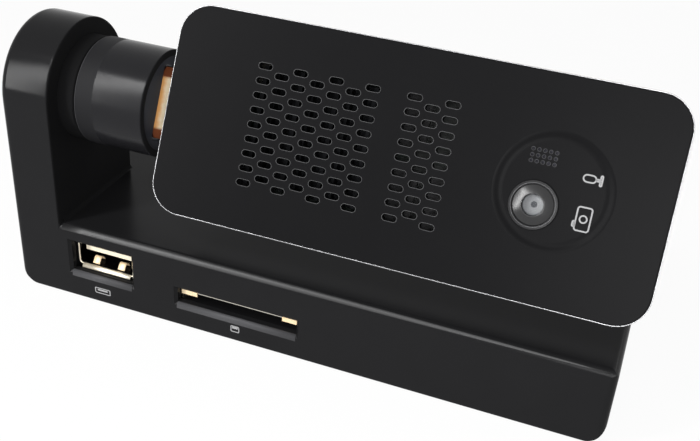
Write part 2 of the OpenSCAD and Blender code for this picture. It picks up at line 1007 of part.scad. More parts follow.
module wire_header() {
    color("#e4ded0")
        translate([header_x, header_y - header_w / 2, z_parts])
            cube([header_l, header_w, z_run + wire_r + room - z_parts]);
}

module arm_wires() {
    x_turn = header_x - wire_r - turn_gap;
    route = [[x_wires, 0, z_axis], [x_wires, 0, z_run], [x_turn, 0, z_run],
        [x_turn, header_y, z_run], [header_x, header_y, z_run]];
    color("#2b2b2d")
        for (i = [0 : len(route) - 2]) {
            step = route[i + 1] - route[i];
            translate(route[i])
                sphere(wire_r);
            translate(route[i])
                rotate([0, acos(step[2] / norm(step)), atan2(step[1], step[0])])
                    cylinder(h = norm(step), r = wire_r);
        }
}

// Swivel

module swivel_barrel() {
    color("#1c1c1d")
        difference() {
            union() {
                about_axis()
                    rect_round([0, x_barrel], [barrel_r, x_rim], [0, barrel_edge, barrel_edge, 0]);
                about_axis()
                    translate([0, x_journal])
                        square([journal_r, x_barrel - x_journal + cut]);
            }
            about_axis()
                translate([0, x_mouth])
                    square([barrel_r - rim_t, recess + cut]);
            about_axis()
                translate([0, x_journal - cut])
                    square([passage_r, x_mouth - socket_depth - x_journal + cut]);
            about_axis()
                translate([journal_r - groove_d, x_ring - fit])
                    square([groove_d + cut, ring_t + 2 * fit]);
            leaning()
                along_x(x_mouth - socket_depth, socket_depth + cut)
                    plug_outline(socket_grow + fit);
        }
}

module friction_washer() {
    color("#b8b8b6")
        about_axis()
            translate([journal_r + fit, x_washer])
                square([ring_r - journal_r - fit, washer_t]);
}

module retaining_ring() {
    gap = journal_r;
    color("#8e8e90")
        difference() {
            union() {
                about_axis()
                    translate([journal_r - groove_d + fit, x_ring])
                        square([ring_r - journal_r + groove_d - fit, ring_t]);
                // Tab that meets the stops
                translate([x_ring, -tab_w / 2, z_axis + ring_r - groove_d])
                    cube([ring_t, tab_w, tab_r - ring_r + groove_d]);
            }
            translate([x_ring - cut, -gap / 2, z_axis - ring_r - cut])
                cube([ring_t + 2 * cut, gap, ring_r]);
        }
}

// Places the swivel's own video socket
module in_socket() {
    leaning()
        translate([x_mouth, 0, 0])
            children();
}

module socket_shell() {
    color("#b9b7b2")
        in_socket()
            video_shell();
}

module socket_insulator() {
    color("#161617")
        in_socket()
            video_insulator();
}

module socket_contacts() {
    color("#d9b25f")
        in_socket()
            video_contacts();
}

module swivel_wires() {
    x_start = x_journal + wire_gap;
    color("#2b2b2d")
        translate([x_start, 0, z_axis])
            rotate([0, 90, 0])
                cylinder(h = x_mouth - socket_depth - x_start, r = wire_r);
}

// Stick

// Vent columns: tall ones have all the rows and short ones between them have one less
module vent_grid(x, cols) {
    for (col = [0 : cols - 1]) {
        rows = vent_rows - col % 2;
        for (row = [0 : rows - 1])
            translate([x + col * vent_dx, (row - (rows - 1) / 2) * vent_dy])
                slot(slot_l, slot_h);
    }
}

// Half outline of the shallow dish round the lens and the microphone holes, up from its floor
module dish_outline() {
    half = dish_wall / 2;
    square([dish_floor, dish_rise]);
    intersection() {
        translate([dish_floor, 0])
            square([half, dish_rise]);
        translate([dish_floor, dish_arc])
            circle(dish_arc);
    }
    difference() {
        translate([dish_floor + half, 0])
            square([half, dish_rise]);
        translate([dish_r, dish_rise - dish_arc])
            circle(dish_arc);
    }
}

module face_plate() {
    color("#29292a")
        in_stick()
            difference() {
                union() {
                    translate([stick_l / 2, 0, z_plate])
                        linear_extrude(plate_t)
                            round_rect(stick_l, stick_w, plate_r);
                    at_bosses()
                        translate([0, 0, boss_split - z_back])
                            cylinder(h = z_plate - boss_split + boss_sink, r = boss_r);
                }
                translate([stick_l / 2, 0, 0])
                    rim_waste(stick_l, stick_w, plate_r)
                        chamfer_waste(plate_chamfer);
                translate([0, 0, z_plate - cut])
                    linear_extrude(plate_t + 2 * cut) {
                        vent_grid(vent_a_x, vent_cols_a);
                        vent_grid(vent_b_x, vent_cols_b);
                        for (col = [0 : mic_cols - 1], row = [0 : mic_rows - 1])
                            translate([lens_x + (col - (mic_cols - 1) / 2) * mic_step,
                                    mic_up + (row - (mic_rows - 1) / 2) * mic_step])
                                circle(mic_r, $fn = 16);
                        translate([lens_x, lens_y])
                            circle(lens_hole_r);
                    }
                translate([dish_x, 0, z_dish])
                    rotate_extrude()
                        dish_outline();
                at_bosses()
                    translate([0, 0, boss_split - z_back - cut])
                        cylinder(h = pin_bite + pin_spare + cut, r = pin_r + fit);
            }
}

module stick_back() {
    l = stick_l - 2 * back_inset;
    w = stick_w - 2 * back_inset;
    r = plate_r - back_inset;
    color("#202021")
        difference() {
            in_stick()
                difference() {
                    union() {
                        difference() {
                            translate([stick_l / 2, 0, z_back])
                                linear_extrude(stick_t - plate_t)
                                    round_rect(l, w, r);
                            translate([stick_l / 2, 0, back_floor])
                                linear_extrude(stick_t)
                                    round_rect(l - 2 * back_wall, w - 2 * back_wall, r - back_wall);
                        }
                        at_bosses()
                            cylinder(h = boss_split - z_back, r = boss_r);
                        // Standoffs under the board
                        for (x = [board_x + boss_r, board_x + board_l - boss_r], side = [-1, 1])
                            translate([x, side * (board_w / 2 - boss_r), z_back])
                                cylinder(h = z_sboard - board_t - z_back, r = standoff_r);
                    }
                    translate([stick_l / 2, 0, z_back])
                        mirror([0, 0, 1])
                            rim_waste(l, w, r)
                                corner_waste(back_round);
                    at_bosses() {
                        screw(pin_r + 2 * fit, pin_head_r + fit, pin_head_t, boss_split - z_back + cut);
                        translate([0, 0, -cut])
                            cylinder(h = cut, r = pin_head_r + fit);
                    }
                }
            leaning()
                along_x(x_stick - cut, back_inset + back_wall + 2 * cut)
                    plug_outline(fit);
        }
}

module stick_screws() {
    color("#3c3c3e")
        in_stick()
            at_bosses()
                screw(pin_r, pin_head_r, pin_head_t, boss_split - z_back + pin_bite);
}

module stick_board() {
    color("#1d4a2c")
        in_stick()
            translate([board_x, -board_w / 2, z_sboard - board_t])
                cube([board_l, board_w, board_t]);
}

module soc_chip() {
    color("#1f1f21")
        in_stick()
            on_board(soc, z_sboard);
}

module memory_chips() {
    color("#1f1f21")
        in_stick()
            for (side = [0, 1])
                mirror([0, side, 0])
                    on_board(memory, z_sboard);
}

module flash_chip() {
    color("#1f1f21")
        in_stick()
            on_board(flash, z_sboard);
}

module power_chip() {
    color("#1f1f21")
        in_stick()
            on_board(power_ic, z_sboard);
}

module radio_can() {
    color("#bfbfbb")
        in_stick()
            on_board(radio, z_sboard);
}

module antenna() {
    color("#d8d2c2")
        in_stick()
            on_board([board_x + board_l - antenna_in, antenna_y, antenna_l, antenna_w, antenna_t], z_sboard);
}

module thermal_pad() {
    color("#8d95a0")
        in_stick()
            on_board([soc[0], soc[1], soc[2], soc[3], pad_h], z_sboard + soc[4]);
}

module heat_sink() {
    low = z_sboard + soc[4] + pad_h;
    fins = floor((sink_l - fin_t) / fin_step);
    color("#9a9b9d")
        in_stick()
            translate([soc[0] - sink_l / 2, soc[1] - sink_w / 2, low]) {
                cube([sink_l, sink_w, sink_base]);
                for (i = [0 : fins])
                    translate([i * (sink_l - fin_t) / fins, 0, 0])
                        cube([fin_t, sink_w, sink_h]);
            }
}

// Places the camera's pieces: Z out of the front face, about the lens
module in_camera() {
    in_stick()
        translate([lens_x, lens_y, 0])
            children();
}

module camera_holder() {
    color("#1a1a1b")
        in_camera()
            difference() {
                translate([-holder_w / 2, -holder_w / 2, z_sboard])
                    cube([holder_w, holder_w, holder_h]);
                translate([0, 0, z_sboard - cut])
                    cylinder(h = holder_h + 2 * cut, r = lens_r + fit);
                translate([-sensor_room / 2, -sensor_room / 2, z_sboard - cut])
                    cube([sensor_room, sensor_room, sensor_h + room + cut]);
            }
}

module image_sensor() {
    color("#2a2f3a")
        in_camera()
            translate([-sensor_w / 2, -sensor_w / 2, z_sboard])
                cube([sensor_w, sensor_w, sensor_h]);
}

module lens_barrel() {
    low = z_sboard + sensor_h + lens_back;
    high = lens_front;
    color("#121213")
        in_camera()
            difference() {
                translate([0, 0, low])
                    cylinder(h = high - low, r = lens_r);
                translate([0, 0, low - cut])
                    cylinder(h = high - low + 2 * cut, r = glass_r);
                translate([0, 0, high - lens_cone])
                    cylinder(h = lens_cone, r1 = glass_r, r2 = lens_r - lens_rim);
            }
}

module lens_glass() {
    high = lens_front - lens_cone;
    color("#9aa0a6")
        in_camera()
            intersection() {
                translate([0, 0, high - glass_t])
                    cylinder(h = glass_t, r = glass_r - fit);
                translate([0, 0, high - glass_dome])
                    sphere(glass_dome);
            }
}

module lens_window() {
    color("#2d3034")
        in_camera()
            translate([0, 0, z_window])
                cylinder(h = window_t, r = window_r - fit);
}

module lens_ring() {
    rim = lens_hole_r + bezel_w;
    color("#1a1a1b")
        in_camera()
            difference() {
                union() {
                    translate([0, 0, z_plate])
                        cylinder(h = plate_t - dish_depth, r = lens_hole_r - fit);
                    translate([0, 0, z_dish])
                        cylinder(h = bezel_t, r1 = rim, r2 = rim - bezel_slope);
                }
                translate([0, 0, z_plate - cut])
                    cylinder(h = plate_t + 2 * cut, r = window_r - window_seat);
                translate([0, 0, z_window])
                    cylinder(h = cut, r = window_r);
            }
}

module microphone() {
    color("#c2bfb6")
        in_stick()
            translate([lens_x - mic_can_l / 2, mic_up - mic_can_w / 2, z_plate - mic_can_t])
                cube([mic_can_l, mic_can_w, mic_can_t]);
}

module plug_shell() {
    color("#d8a85a")
        leaning()
            difference() {
                along_x(x_stick - plug_l, plug_l + core_in)
                    plug_outline(0);
                along_x(x_stick - plug_l - cut, plug_l + core_in + 2 * cut)
                    plug_outline(-sheet);
            }
}

module plug_core() {
    color("#161617")
        leaning()
            along_x(x_core, x_stick + core_in - x_core)
                plug_outline(-sheet - fit);
}

module plug_contacts() {
    tip = x_stick - plug_l + spring_in;
    color("#d9b25f")
        leaning() {
            contact_rows(tip, x_core - tip, spring_z, spring_t);
            // Tails on the board
            for (i = [0 : contact_count - 1])
                translate([x_stick + core_in, -spring_t, contact_place(i) - contact_w / 2])
                    cube([board_x - core_in + tail_l, spring_t, contact_w]);
        }
}

dock_shell();
dock_bottom();
arm_cover();
dock_screws();
rubber_pad();
dock_board();
usb_shell();
usb_insulator();
usb_contacts();
sd_shell();
sd_base();
sd_contacts();
sd_clips();
hdmi_out_shell();
hdmi_out_insulator();
hdmi_out_contacts();
power_shell();
power_pin();
hub_chip();
reader_chip();
wire_header();
arm_wires();
swivel_barrel();
friction_washer();
retaining_ring();
socket_shell();
socket_insulator();
socket_contacts();
swivel_wires();
face_plate();
stick_back();
stick_screws();
stick_board();
soc_chip();
memory_chips();
flash_chip();
power_chip();
radio_can();
antenna();
thermal_pad();
heat_sink();
camera_holder();
image_sensor();
lens_barrel();
lens_glass();
lens_window();
lens_ring();
microphone();
plug_shell();
plug_core();
plug_contacts();
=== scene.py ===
"""Looks of a stick computer that is plugged into a swivel on a table dock.

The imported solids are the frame: they keep their shapes and get finishes made of nodes. What the solids leave
plain, such as lips, lens surfaces, screw recesses and signs, is added as surfaces worked out with numpy.
Sizes are in millimetres, and the points of a finished piece are in metres.
"""
import json
import logging
import math
from abc import ABC, abstractmethod
from dataclasses import dataclass
from enum import Enum
from functools import cache
from typing import NamedTuple

import bmesh
import bpy
import numpy as np
from mathutils import Matrix, Vector


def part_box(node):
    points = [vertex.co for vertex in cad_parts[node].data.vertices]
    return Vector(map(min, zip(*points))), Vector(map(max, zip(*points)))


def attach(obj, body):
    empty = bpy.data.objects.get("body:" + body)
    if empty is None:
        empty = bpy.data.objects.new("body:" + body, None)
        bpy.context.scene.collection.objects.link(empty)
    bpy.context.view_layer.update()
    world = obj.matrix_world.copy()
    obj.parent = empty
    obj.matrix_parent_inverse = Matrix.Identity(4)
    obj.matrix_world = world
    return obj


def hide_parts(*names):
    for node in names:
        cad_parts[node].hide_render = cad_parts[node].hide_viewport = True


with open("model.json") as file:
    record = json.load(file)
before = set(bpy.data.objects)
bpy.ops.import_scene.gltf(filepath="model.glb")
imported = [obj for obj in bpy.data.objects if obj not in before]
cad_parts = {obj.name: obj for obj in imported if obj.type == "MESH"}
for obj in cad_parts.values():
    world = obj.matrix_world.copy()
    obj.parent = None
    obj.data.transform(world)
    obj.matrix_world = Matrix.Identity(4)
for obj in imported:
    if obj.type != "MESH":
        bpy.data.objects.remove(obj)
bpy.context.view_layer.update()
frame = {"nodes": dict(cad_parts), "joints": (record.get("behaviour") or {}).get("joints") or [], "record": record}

LOG = logging.getLogger("stick_computer")
MM = 0.001
TURN = 2.0 * math.pi
# Height of the swivel's axis, the stick's lean back about it, and the plate's distance before it
AXIS_Z = frame["joints"][0]["pos_m"][2] / MM
LEAN = math.radians(25.6)
FACE_OFF = 7.0
# Points that lie closer than this are one
MERGE = 0.002
# Octaves of the noise in grain and marks, and in dust
GRAIN_DETAIL = 3.0
DUST_DETAIL = 4.0
# Length at which a wave texture of scale one repeats
WAVE_PITCH = math.pi / 10.0
# Sockets of a Mix node: two colours with their mix, and two values
COLOUR_A, COLOUR_B, COLOUR_OUT = 6, 7, 2
VALUE_A, VALUE_B = 2, 3

Outline = tuple[np.ndarray, np.ndarray]
Tree = bpy.types.NodeTree
Socket = bpy.types.NodeSocket
Inputs = dict[str | int, float | tuple[float, ...] | Socket]


class Body(Enum):
    """The bodies that the joints move."""

    DOCK = "dock"
    SWIVEL = "swivel"
    STICK = "stick"


class Surface(Enum):
    """How a metal surface was made, with the scale of its marks along X: a small scale draws them out."""

    STAMPED = 0.25
    ROLLED = 0.06
    BLASTED = 1.0


def linear(colour: str, gain: float = 1.0) -> tuple[float, float, float, float]:
    """Turns an sRGB hex colour to linear light, by the sRGB curve.

    Args:
        colour: Six hex digits after a hash.
        gain: Factor on the linear values.

    Returns:
        Red, green, blue and an alpha of one.
    """
    parts = np.array([int(colour[i:i + 2], 16) for i in (1, 3, 5)]) / 255.0
    light = np.where(parts <= 0.04045, parts / 12.92, ((parts + 0.055) / 1.055) ** 2.4)
    return (*(float(x) for x in np.clip(light * gain, 0.0, 1.0)), 1.0)


def per_metre(size: float) -> float:
    """Texture scale at which a pattern repeats once in so many millimetres."""
    return 1.0 / (size * MM)


def add_node(tree: Tree, kind: str, inputs: Inputs | None = None, **settings: str) -> bpy.types.Node:
    """Adds a node with its settings, and sets or links its inputs.

    Args:
        tree: Node tree that gets the node.
        kind: Blender's name of the node's type, less the word ShaderNode.
        inputs: Input name or index, with the value or the output socket that feeds it.
        **settings: Attributes of the node.

    Returns:
        The new node.
    """
    node = tree.nodes.new("ShaderNode" + kind)
    for key, value in settings.items():
        setattr(node, key, value)
    for key, value in (inputs or {}).items():
        if isinstance(value, Socket):
            tree.links.new(value, node.inputs[key])
        else:
            node.inputs[key].default_value = value
    return node


@dataclass(frozen=True)
class Finish(ABC):
    """A finish, which makes its material from nodes."""

    name: str
    colour: str

    @abstractmethod
    def shade(self, tree: Tree, place: Socket) -> Inputs:
        """Adds the finish's own nodes.

        Args:
            tree: Node tree of the material.
            place: Object coordinates.

        Returns:
            Inputs of the shader.
        """

    def build(self) -> bpy.types.Material:
        """Makes the material: the finish's nodes feed one shader.

        Returns:
            The material.
        """
        material = bpy.data.materials.new(self.name)
        material.use_nodes = True
        tree = material.node_tree
        tree.nodes.clear()
        place = add_node(tree, "TexCoord").outputs["Object"]
        shader = add_node(tree, "BsdfPrincipled", self.shade(tree, place))
        add_node(tree, "OutputMaterial", {"Surface": shader.outputs["BSDF"]})
        return material


@dataclass(frozen=True)
class FinishZone:
    """Stretch of a moulding along X, above a height, that the mould left rougher or smoother, and where a factor
    darkens the colour as painted shade.
    """

    x: tuple[float, float]
    above: float = -1.0
    roughness: float = 0.85
    # Factor on the colour in the zone: below one it is painted shade
    tone: float = 0.5

    def inside(self, tree: Tree, place: Socket) -> Socket:
        """One inside the zone and zero outside it.

        Args:
            tree: Node tree of the material.
            place: Object coordinates.

        Returns:
            The mask.
        """
        axes = add_node(tree, "SeparateXYZ", {0: place})
        limits = (("X", "GREATER_THAN", self.x[0]), ("X", "LESS_THAN", self.x[1]),
                  ("Z", "GREATER_THAN", self.above))
        tests = [add_node(tree, "Math", {0: axes.outputs[axis], 1: limit * MM}, operation=test)
                 for axis, test, limit in limits]
        after, before, over = (node.outputs[0] for node in tests)
        along = add_node(tree, "Math", {0: after, 1: before}, operation="MULTIPLY").outputs[0]
        return add_node(tree, "Math", {0: along, 1: over}, operation="MULTIPLY").outputs[0]


@dataclass(frozen=True)
class MouldedPlastic(Finish):
    """Plastic from a spark-eroded mould: a fine even grain breaks up its sheen."""

    roughness: float = 0.45
    specular: float = 0.3
    grain: float = 0.22
    depth: float = 0.008
    mottle_size: float = 7.0
    mottle: float = 0.08
    zones: tuple[FinishZone, ...] = ()
    swing: float = 0.07

    def shade(self, tree: Tree, place: Socket) -> Inputs:
        """The grain lifts the surface and swings its roughness, and the mottle shifts its shade.

        Args:
            tree: Node tree of the material.
            place: Object coordinates.

        Returns:
            Inputs of the shader.
        """
        grain = add_node(tree, "TexNoise", {
            "Vector": place, "Scale": per_metre(self.grain), "Detail": GRAIN_DETAIL}).outputs[0]
        mottle = add_node(tree, "TexNoise", {"Vector": place, "Scale": per_metre(self.mottle_size)})
        tint = add_node(tree, "Mix", {
            "Factor": mottle.outputs[0],
            COLOUR_A: linear(self.colour, 1.0 - self.mottle),
            COLOUR_B: linear(self.colour, 1.0 + self.mottle)}, data_type="RGBA").outputs[COLOUR_OUT]
        rough = add_node(tree, "MapRange", {
            "Value": grain, "To Min": self.roughness - self.swing,
            "To Max": self.roughness + self.swing}).outputs[0]
        # Each zone sets its roughness, and its factor darkens the colour there as painted shade
        for zone in self.zones:
            mask = zone.inside(tree, place)
            tint = add_node(tree, "Mix", {
                "Factor": mask, COLOUR_A: tint, COLOUR_B: linear(self.colour, zone.tone)},
                data_type="RGBA").outputs[COLOUR_OUT]
            rough = add_node(tree, "Mix", {
                "Factor": mask, VALUE_A: rough, VALUE_B: zone.roughness}).outputs[0]
        bump = add_node(tree, "Bump", {"Height": grain, "Distance": self.depth * MM})
        return {"Base Color": tint, "Roughness": rough, "Normal": bump.outputs[0],
                "Specular IOR Level": self.specular}


@dataclass(frozen=True)
class PaintedReflectionFlanks:
    """Flanks of the plug, up and down its width, where a copper-brown colour is painted dark reflection on the
    slanted faces.
    """

    colour: str
    reach: float
    blur: float = 0.25

    def dark_reflection(self, tree: Tree, place: Socket) -> Socket:
        """One on the flanks and zero between them: the distance up the leaning width, against the reach.

        Args:
            tree: Node tree of the material.
            place: Object coordinates.

        Returns:
            The mask.
        """
        about = add_node(tree, "VectorMath", {0: place, 1: (0.0, 0.0, AXIS_Z * MM)}, operation="SUBTRACT")
        up = add_node(tree, "VectorMath", {
            0: about.outputs[0], 1: (0.0, math.sin(LEAN), math.cos(LEAN))}, operation="DOT_PRODUCT")
        far = add_node(tree, "Math", {0: up.outputs["Value"]}, operation="ABSOLUTE")
        return add_node(tree, "MapRange", {
            "Value": far.outputs[0],
            "From Min": (self.reach - self.blur) * MM,
            "From Max": (self.reach + self.blur) * MM}).outputs[0]


@dataclass(frozen=True)
class RimShadowBand:
    """Band across the plug, along X, by the barrel's rim, painted a deeper gold as the rim's shadow."""

    colour: str
    x: tuple[float, float]
    wander: float = 1.0

    def rim_shadow(self, tree: Tree, place: Socket, patch: Socket) -> Socket:
        """One before the first X and zero after the second, with a border that wanders with the patches.

        Args:
            tree: Node tree of the material.
            place: Object coordinates.
            patch: Noise of the patches, from zero to one.

        Returns:
            The mask.
        """
        axes = add_node(tree, "SeparateXYZ", {0: place})
        aside = add_node(tree, "Math", {0: patch, 1: 0.5}, operation="SUBTRACT")
        border = add_node(tree, "Math", {
            0: aside.outputs[0], 1: self.wander * MM, 2: axes.outputs["X"]}, operation="MULTIPLY_ADD")
        return add_node(tree, "MapRange", {
            "Value": border.outputs[0], "From Min": self.x[0] * MM, "From Max": self.x[1] * MM,
            "To Min": 1.0, "To Max": 0.0}).outputs[0]


@dataclass(frozen=True)
class SheetMetal(Finish):
    """Plated, rolled or blasted metal: fine marks along the way it was worked, and a patchy tarnish. On the plug,
    a band of painted shadow and flanks of painted dark reflection darken it.
    """

    tarnish: str
    surface: Surface = Surface.ROLLED
    roughness: float = 0.28
    mark: float = 0.12
    depth: float = 0.004
    patch: float = 3.0
    metallic: float = 1.0
    band: RimShadowBand | None = None
    flanks: PaintedReflectionFlanks | None = None
    swing: float = 0.08

    def shade(self, tree: Tree, place: Socket) -> Inputs:
        """The marks are noise that is drawn out along X, or even all round if blasted.

        Args:
            tree: Node tree of the material.
            place: Object coordinates.

        Returns:
            Inputs of the shader.
        """
        drawn = add_node(tree, "Mapping", {"Vector": place, "Scale": (self.surface.value, 1.0, 1.0)})
        marks = add_node(tree, "TexNoise", {
            "Vector": drawn.outputs[0], "Scale": per_metre(self.mark), "Detail": GRAIN_DETAIL}).outputs[0]
        patch = add_node(tree, "TexNoise", {
            "Vector": place, "Scale": per_metre(self.patch), "Detail": GRAIN_DETAIL}).outputs[0]
        tint = add_node(tree, "Mix", {
            "Factor": patch, COLOUR_A: linear(self.tarnish), COLOUR_B: linear(self.colour)},
            data_type="RGBA").outputs[COLOUR_OUT]
        # A deeper gold by the barrel's rim: painted shadow
        if self.band:
            tint = add_node(tree, "Mix", {
                "Factor": self.band.rim_shadow(tree, place, patch),
                COLOUR_A: tint, COLOUR_B: linear(self.band.colour)}, data_type="RGBA").outputs[COLOUR_OUT]
        # Copper-brown flanks: painted dark reflection on the plug's slanted faces
        if self.flanks:
            tint = add_node(tree, "Mix", {
                "Factor": self.flanks.dark_reflection(tree, place),
                COLOUR_A: tint, COLOUR_B: linear(self.flanks.colour)}, data_type="RGBA").outputs[COLOUR_OUT]
        rough = add_node(tree, "MapRange", {
            "Value": marks, "To Min": self.roughness - self.swing, "To Max": self.roughness + self.swing})
        bump = add_node(tree, "Bump", {"Height": marks, "Distance": self.depth * MM})
        return {"Base Color": tint, "Roughness": rough.outputs[0], "Normal": bump.outputs[0],
                "Metallic": self.metallic}


@dataclass(frozen=True)
class SolderMask(Finish):
    """Lacquer over copper tracks: the tracks show as paler, slightly raised lines."""

    track: str
    pitch: float = 1.27
    depth: float = 0.02
    track_share: float = 0.08
    run: float = 3.0
    second_tone: float = 0.8
    roughness: float = 0.3

    def shade(self, tree: Tree, place: Socket) -> Inputs:
        """A brick pattern's joints stand for the tracks.

        Args:
            tree: Node tree of the material.
            place: Object coordinates.

        Returns:
            Inputs of the shader.
        """
        tracks = add_node(tree, "TexBrick", {
            "Vector": place, "Scale": per_metre(self.pitch), "Mortar Size": self.track_share,
            "Brick Width": self.run, "Row Height": 1.0, "Color1": linear(self.colour),
            "Color2": linear(self.colour, self.second_tone), "Mortar": linear(self.track)})
        bump = add_node(tree, "Bump", {"Height": tracks.outputs["Fac"], "Distance": self.depth * MM})
        return {"Base Color": tracks.outputs["Color"], "Roughness": self.roughness, "Normal": bump.outputs[0]}


@dataclass(frozen=True)
class RibbedRubber(Finish):
    """Moulded rubber: fine ribs across its length and a dull, dusty skin."""

    rib: float = 1.6
    depth: float = 0.12
    dusty_gain: float = 2.2
    roughness: float = 0.8

    def shade(self, tree: Tree, place: Socket) -> Inputs:
        """A wave along X gives the ribs, and noise the dust.

        Args:
            tree: Node tree of the material.
            place: Object coordinates.

        Returns:
            Inputs of the shader.
        """
        ribs = add_node(tree, "TexWave", {
            "Vector": place, "Scale": per_metre(self.rib) * WAVE_PITCH}, bands_direction="X")
        dust = add_node(tree, "TexNoise", {
            "Vector": place, "Scale": per_metre(self.rib), "Detail": DUST_DETAIL})
        tint = add_node(tree, "Mix", {
            "Factor": dust.outputs[0],
            COLOUR_A: linear(self.colour),
            COLOUR_B: linear(self.colour, self.dusty_gain)}, data_type="RGBA")
        bump = add_node(tree, "Bump", {"Height": ribs.outputs["Fac"], "Distance": self.depth * MM})
        return {"Base Color": tint.outputs[COLOUR_OUT], "Roughness": self.roughness,
                "Normal": bump.outputs[0]}


@dataclass(frozen=True)
class ClearGlass(Finish):
    """Thin coated glass: a slight sheen, see-through where it covers something, and dulled by faint dust."""

    roughness: float = 0.05
    cover: float = 1.0
    dust: float = 0.3
    dulling: float = 0.05

    def shade(self, tree: Tree, place: Socket) -> Inputs:
        """Dust is noise that raises the roughness a little.

        Args:
            tree: Node tree of the material.
            place: Object coordinates.

        Returns:
            Inputs of the shader.
        """
        dust = add_node(tree, "TexNoise", {
            "Vector": place, "Scale": per_metre(self.dust), "Detail": DUST_DETAIL})
        rough = add_node(tree, "MapRange", {
            "Value": dust.outputs[0], "To Min": self.roughness, "To Max": self.roughness + self.dulling})
        return {"Base Color": linear(self.colour), "Roughness": rough.outputs[0], "Alpha": self.cover}


